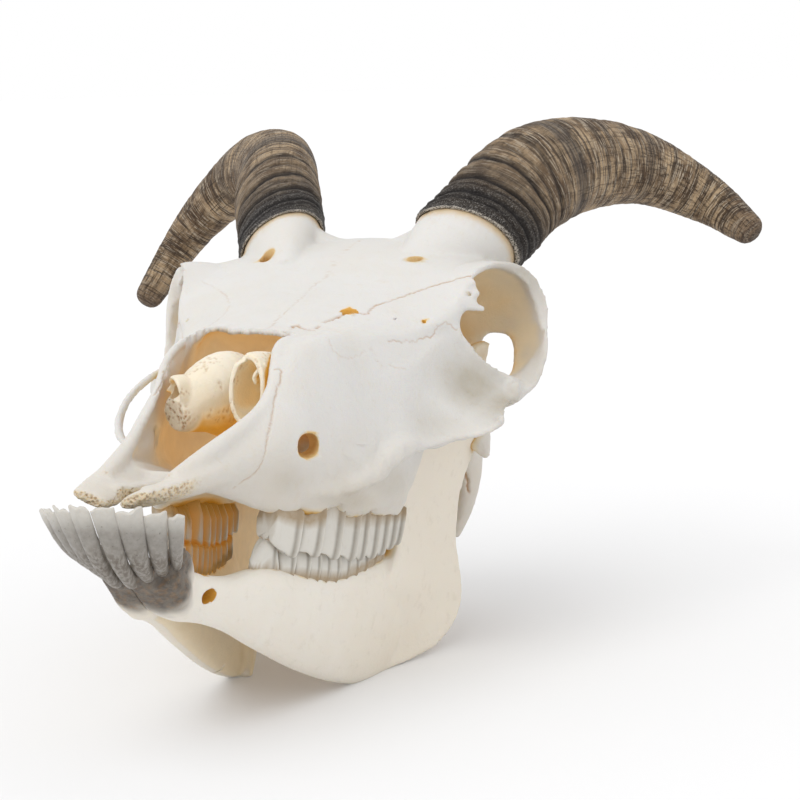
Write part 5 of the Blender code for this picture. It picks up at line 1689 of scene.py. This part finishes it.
def brokenEndPaint():
    # less painted shade at the right scroll's broken end, so it is paler than its inside
    mesh = scrolls[-1].data
    near = 1 - eased(np.linalg.norm(placesOf(mesh) - scroll["brokenEnd"], axis=1), 5.5, 9.5)
    painted(mesh, "deep", paintOf(mesh, "deep") * (1 - 0.6 * near))


def shadeUnderSheathRim():
    # painted shade: a thin brown line on the bone where each horn sheath ends, under its edge
    places = placesOf(skull.data)
    x, _, z = places.T
    stain = np.zeros(len(places))
    for side in (1, -1):
        mesh = sheaths[side].data
        ring = placesOf(mesh)[paintOf(mesh, "rim") > 0.6]
        tree = kdtree.KDTree(len(ring))
        for k, spot in enumerate(ring):
            tree.insert(Vector(spot), k)
        tree.balance()
        for k in np.where((z > sheathRimShade["above"]) & (np.sign(x) == side))[0]:
            stain[k] = max(stain[k], 1 - tree.find(Vector(places[k]))[2] / sheathRimShade["wide"])
    painted(skull.data, "tan", sheathRimShade["tone"] * eased(stain, 0.0, 0.7))


def chinHoles():
    # painted shade: the nerve hole in each half of the chin is darkened inside
    for side in (1, -1):
        mesh = jaws[side].data
        hole = [(16 * side, -33.4, -18.6), (6.5 * side, -33, -16.4)]
        near = distanceTo(placesOf(mesh), followed(hole, 12)[0]) < 6.0
        near &= np.abs(normalsOf(mesh)[:, 0]) < 0.5
        for name, value in (("deep", 0.84), ("lit", 0.1)):
            paint = paintOf(mesh, name)
            paint[near] = value
            painted(mesh, name, paint)


def skullLight():
    # light shines through thin bone round the nose and in the eye sockets, not on outward faces
    places = placesOf(skull.data)
    x, y, z = places.T
    wide = eased(np.abs(x), 34, 42)
    outwards = eased(normalsOf(skull.data)[:, 0] * np.sign(x), 0.1, 0.4) * (np.abs(x) > 12)
    lit = (1 - 0.92 * wide) * (1 - outwards) * (0.35 + 0.65 * eased(z, 10, 19))
    lit *= 1 - 0.9 * eased(y, 64, 90)
    lit = np.maximum(lit, 0.45 * wide * eased(z, 58, 66) * (1 - eased(y, 124, 136)))
    # less painted shade at the front of the nose, and painted shade and glow inside the small openings
    shut = paintOf(skull.data, "deep") * (1 - 0.2 * (1 - eased(y, -34, 18)) * (z > 20))
    for line, half, amber in openings:
        near = distanceTo(places, followed(line, 30)[0]) < half
        shut[near] = np.maximum(shut[near], 0.55 + 0.25 * amber)
        lit[near] = 0.3 * amber
    painted(skull.data, "lit", lit)
    painted(skull.data, "deep", shut)


mouthPaint()
blockers = sightTree([skull, *jaws.values(), *upper.values(), *lower.values()])
for body in (skull, *scrolls.values(), *jaws.values(), *upper.values(), *lower.values(), *front.values()):
    shutIn(body, blockers)
throughPaint()
rightJawLight()
brokenEndPaint()
shadeUnderSheathRim()
chinHoles()
for row in (upper[1], lower[1]):      # the left rows stand in the light
    painted(row.data, "deep", paintOf(row.data, "deep") * 0.7)
skullLight()

shown(skull, "skull_bone", "cranium", "cranium")
for side, word in ((1, "left"), (-1, "right")):
    shown(upper[side], "upper_cheek_teeth_" + word, "teeth")
    shown(lower[side], "lower_cheek_teeth_" + word, "teeth")
    shown(front[side], "front_teeth_" + word, "teeth")
    shown(jaws[side], "jaw_bone_" + word, "jaw", "mandible_" + word)
    shown(scrolls[side], "nose_scroll_" + word, "inner", "concha_" + word)
    shown(sheaths[side], "horn_" + word, "horn", "horn_sheath_" + word)
print("pieces", {name: len(body.data.polygons) for name, body in pieces.items()})

# floor, light and camera
studio = {"sky": 1.0, "floor": (0.76, 0.76, 0.765), "floorGlow": 0.09, "floorSize": 40.0,
          "sun": 0.95, "soft": 45.0, "sunPlace": (-0.3, -1.2, 1.5), "sunAim": (0, 0, 0.08)}
view = {"lens": 109.575, "sensor": 36.0, "place": (0.3044, -0.7824, 0.2025),
        "ahead": (-0.3212, 0.9380, -0.1306), "right": (0.9469, 0.3203, -0.0281)}


def stageFloor():
    shape = bmesh.new()
    bmesh.ops.create_grid(shape, x_segments=1, y_segments=1, size=studio["floorSize"])
    floor = objectOf("floor", shape)
    look = Look("pale_floor", {"Base Color": (*studio["floor"], 1.0), "Roughness": 0.9,
                               "Specular IOR Level": 0.0, "Emission Strength": studio["floorGlow"]})
    floor.data.materials.append(look.material)
    bpy.context.scene.collection.objects.link(floor)


def softSun():
    lamp = bpy.data.lights.new("soft_sun", "SUN")
    lamp.energy = studio["sun"]
    lamp.angle = math.radians(studio["soft"])
    light = bpy.data.objects.new("soft_sun", lamp)
    place = Vector(studio["sunPlace"])
    light.location = place
    light.rotation_euler = (Vector(studio["sunAim"]) - place).to_track_quat("-Z", "Y").to_euler()
    bpy.context.scene.collection.objects.link(light)


def skyLight():
    sky = bpy.data.worlds.new("studio_sky")
    bpy.context.scene.world = sky
    sky.use_nodes = True
    glow = sky.node_tree.nodes["Background"]
    glow.inputs["Color"].default_value = (1.0, 1.0, 1.0, 1.0)
    glow.inputs["Strength"].default_value = studio["sky"]


def photoCamera():
    lens = bpy.data.cameras.new("camera")
    lens.lens = view["lens"]
    lens.sensor_width = view["sensor"]
    camera = bpy.data.objects.new("camera", lens)
    ahead = Vector(view["ahead"]).normalized()
    right = Vector(view["right"])
    right = (right - ahead * right.dot(ahead)).normalized()
    up = right.cross(ahead)
    turn = Matrix((right, up, -ahead)).transposed().to_4x4()
    camera.matrix_world = Matrix.Translation(view["place"]) @ turn
    lens.clip_start = 0.01
    bpy.context.scene.collection.objects.link(camera)
    bpy.context.scene.camera = camera


stageFloor()
skyLight()
softSun()
photoCamera()
bpy.context.scene.view_settings.view_transform = "Standard"
print("stage, light and camera")
